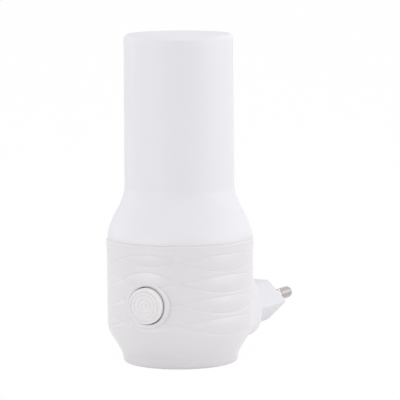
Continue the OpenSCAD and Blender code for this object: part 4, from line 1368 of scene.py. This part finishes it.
# Camera: where it stands, in metres and degrees, and its lens in picture widths
CAMERA_AZIMUTH = 26.6
CAMERA_DISTANCE = 0.920
CAMERA_HEIGHT = 0.166
CAMERA_PITCH = 7.0
CAMERA_ROLL = -0.45
LENS_WIDTHS = 2828 / 400
CAMERA_SHIFT = 20.45 / 400
SENSOR_WIDTH = 36.0
VIEW_RANGE = (0.01, 50.0)


class NIGHTLIGHT_OT_stage(Operator):
    """Set the pale floor, the soft lamps and the camera"""

    bl_idname = "nightlight.stage"
    bl_label = "Stage"

    def execute(self, context):
        context.scene.view_settings.view_transform = "Standard"
        make_floor()
        make_world(context.scene)
        for lamp in LAMPS:
            soft_lamp(*lamp)
        make_camera(context.scene)
        return {"FINISHED"}


def empty_tree(owner):
    """The emptied node tree of a material or a world."""
    owner.use_nodes = True
    owner.node_tree.nodes.clear()
    return Tree(owner.node_tree)


def is_seen(t):
    """True for rays from the camera, from gloss and through glass."""
    path = t.add("ShaderNodeLightPath")
    seen = t.math("MAXIMUM", path["Is Camera Ray"], path["Is Glossy Ray"])
    return t.math("MAXIMUM", seen, path["Is Transmission Ray"])


def make_floor():
    half = FLOOR_HALF
    corners = [(-half, -half, 0), (half, -half, 0), (half, half, 0), (-half, half, 0)]
    floor = make_object("floor", corners, [(0, 1, 2, 3)])
    material = bpy.data.materials.new("floor_paper")
    t = empty_tree(material)
    paper = t.add("ShaderNodeBsdfDiffuse", {"Color": rgba(props().colours.floor)})
    white = t.add("ShaderNodeEmission", {"Color": WHITE, "Strength": 1.0})
    mixed = t.add("ShaderNodeMixShader", {0: is_seen(t) * FLOOR_WHITE, 1: paper, 2: white})
    t.add("ShaderNodeOutputMaterial", {"Surface": mixed})
    set_material(floor, material)


def make_world(scene):
    world = bpy.data.worlds.new("studio")
    scene.world = world
    t = empty_tree(world)
    light, white = (t.add("ShaderNodeBackground", {"Color": WHITE, "Strength": strength})
                    for strength in (WORLD_LIGHT, 1.0))
    mixed = t.add("ShaderNodeMixShader", {0: is_seen(t), 1: light, 2: white})
    t.add("ShaderNodeOutputWorld", {"Surface": mixed})


def soft_lamp(name, place, size, power):
    light = bpy.data.lights.new(name, "AREA")
    light.shape = "RECTANGLE"
    light.size, light.size_y = size
    light.energy = power
    lamp = add_object(name, light)
    lamp.location = place
    aim = LAMP_AIM - Vector(place)
    lamp.rotation_euler = aim.to_track_quat("-Z", "Y").to_euler()


def make_camera(scene):
    turn = math.radians(CAMERA_AZIMUTH)
    pitch = math.radians(CAMERA_PITCH)
    ahead = Vector((-math.sin(turn), math.cos(turn), 0))
    right = Vector((math.cos(turn), math.sin(turn), 0))
    view = ahead * math.cos(pitch) - Vector((0, 0, math.sin(pitch)))
    axes = Matrix((right, right.cross(view), -view)).transposed()
    data = bpy.data.cameras.new("camera")
    data.sensor_width = SENSOR_WIDTH
    data.lens = SENSOR_WIDTH * LENS_WIDTHS
    data.shift_x = CAMERA_SHIFT
    data.clip_start, data.clip_end = VIEW_RANGE
    camera = add_object("camera", data)
    stand = -CAMERA_DISTANCE * ahead + Vector((0, 0, CAMERA_HEIGHT))
    roll = Matrix.Rotation(math.radians(CAMERA_ROLL), 4, "Z")
    camera.matrix_world = Matrix.Translation(stand) @ axes.to_4x4() @ roll
    scene.camera = camera


# ---------------------------------------------------------------- add-on

class NightLight(PropertyGroup):
    """Everything that a user of the night light can set."""

    sizes: PointerProperty(type=NightLightSizes)
    colours: PointerProperty(type=NightLightColours)


class NIGHTLIGHT_PT_panel(Panel):
    """Lists the night light's pieces and their settings"""

    bl_label = "Night light"
    bl_idname = "NIGHTLIGHT_PT_panel"
    bl_space_type = "VIEW_3D"
    bl_region_type = "UI"
    bl_category = "Night light"

    def draw(self, context):
        layout = self.layout
        for group in (props().sizes, props().colours):
            for name in group.bl_rna.properties.keys():
                if name not in ("rna_type", "name"):
                    layout.prop(group, name)
        for step in STEPS:
            layout.operator(step.bl_idname)


STEPS = (
    NIGHTLIGHT_OT_housing,
    NIGHTLIGHT_OT_diffuser,
    NIGHTLIGHT_OT_button,
    NIGHTLIGHT_OT_plug,
    NIGHTLIGHT_OT_inside,
    NIGHTLIGHT_OT_spring,
    NIGHTLIGHT_OT_joints,
    NIGHTLIGHT_OT_stage,
)
CLASSES = (NightLightSizes, NightLightColours, NightLight) + STEPS + (NIGHTLIGHT_PT_panel,)


def register():
    for cls in CLASSES:
        bpy.utils.register_class(cls)
    setattr(bpy.types.Scene, PROPERTIES, PointerProperty(type=NightLight))


def unregister():
    delattr(bpy.types.Scene, PROPERTIES)
    for cls in reversed(CLASSES):
        bpy.utils.unregister_class(cls)


def main():
    register()
    for step in STEPS:
        area, name = step.bl_idname.split(".")
        getattr(getattr(bpy.ops, area), name)()


if __name__ == "__main__":
    main()
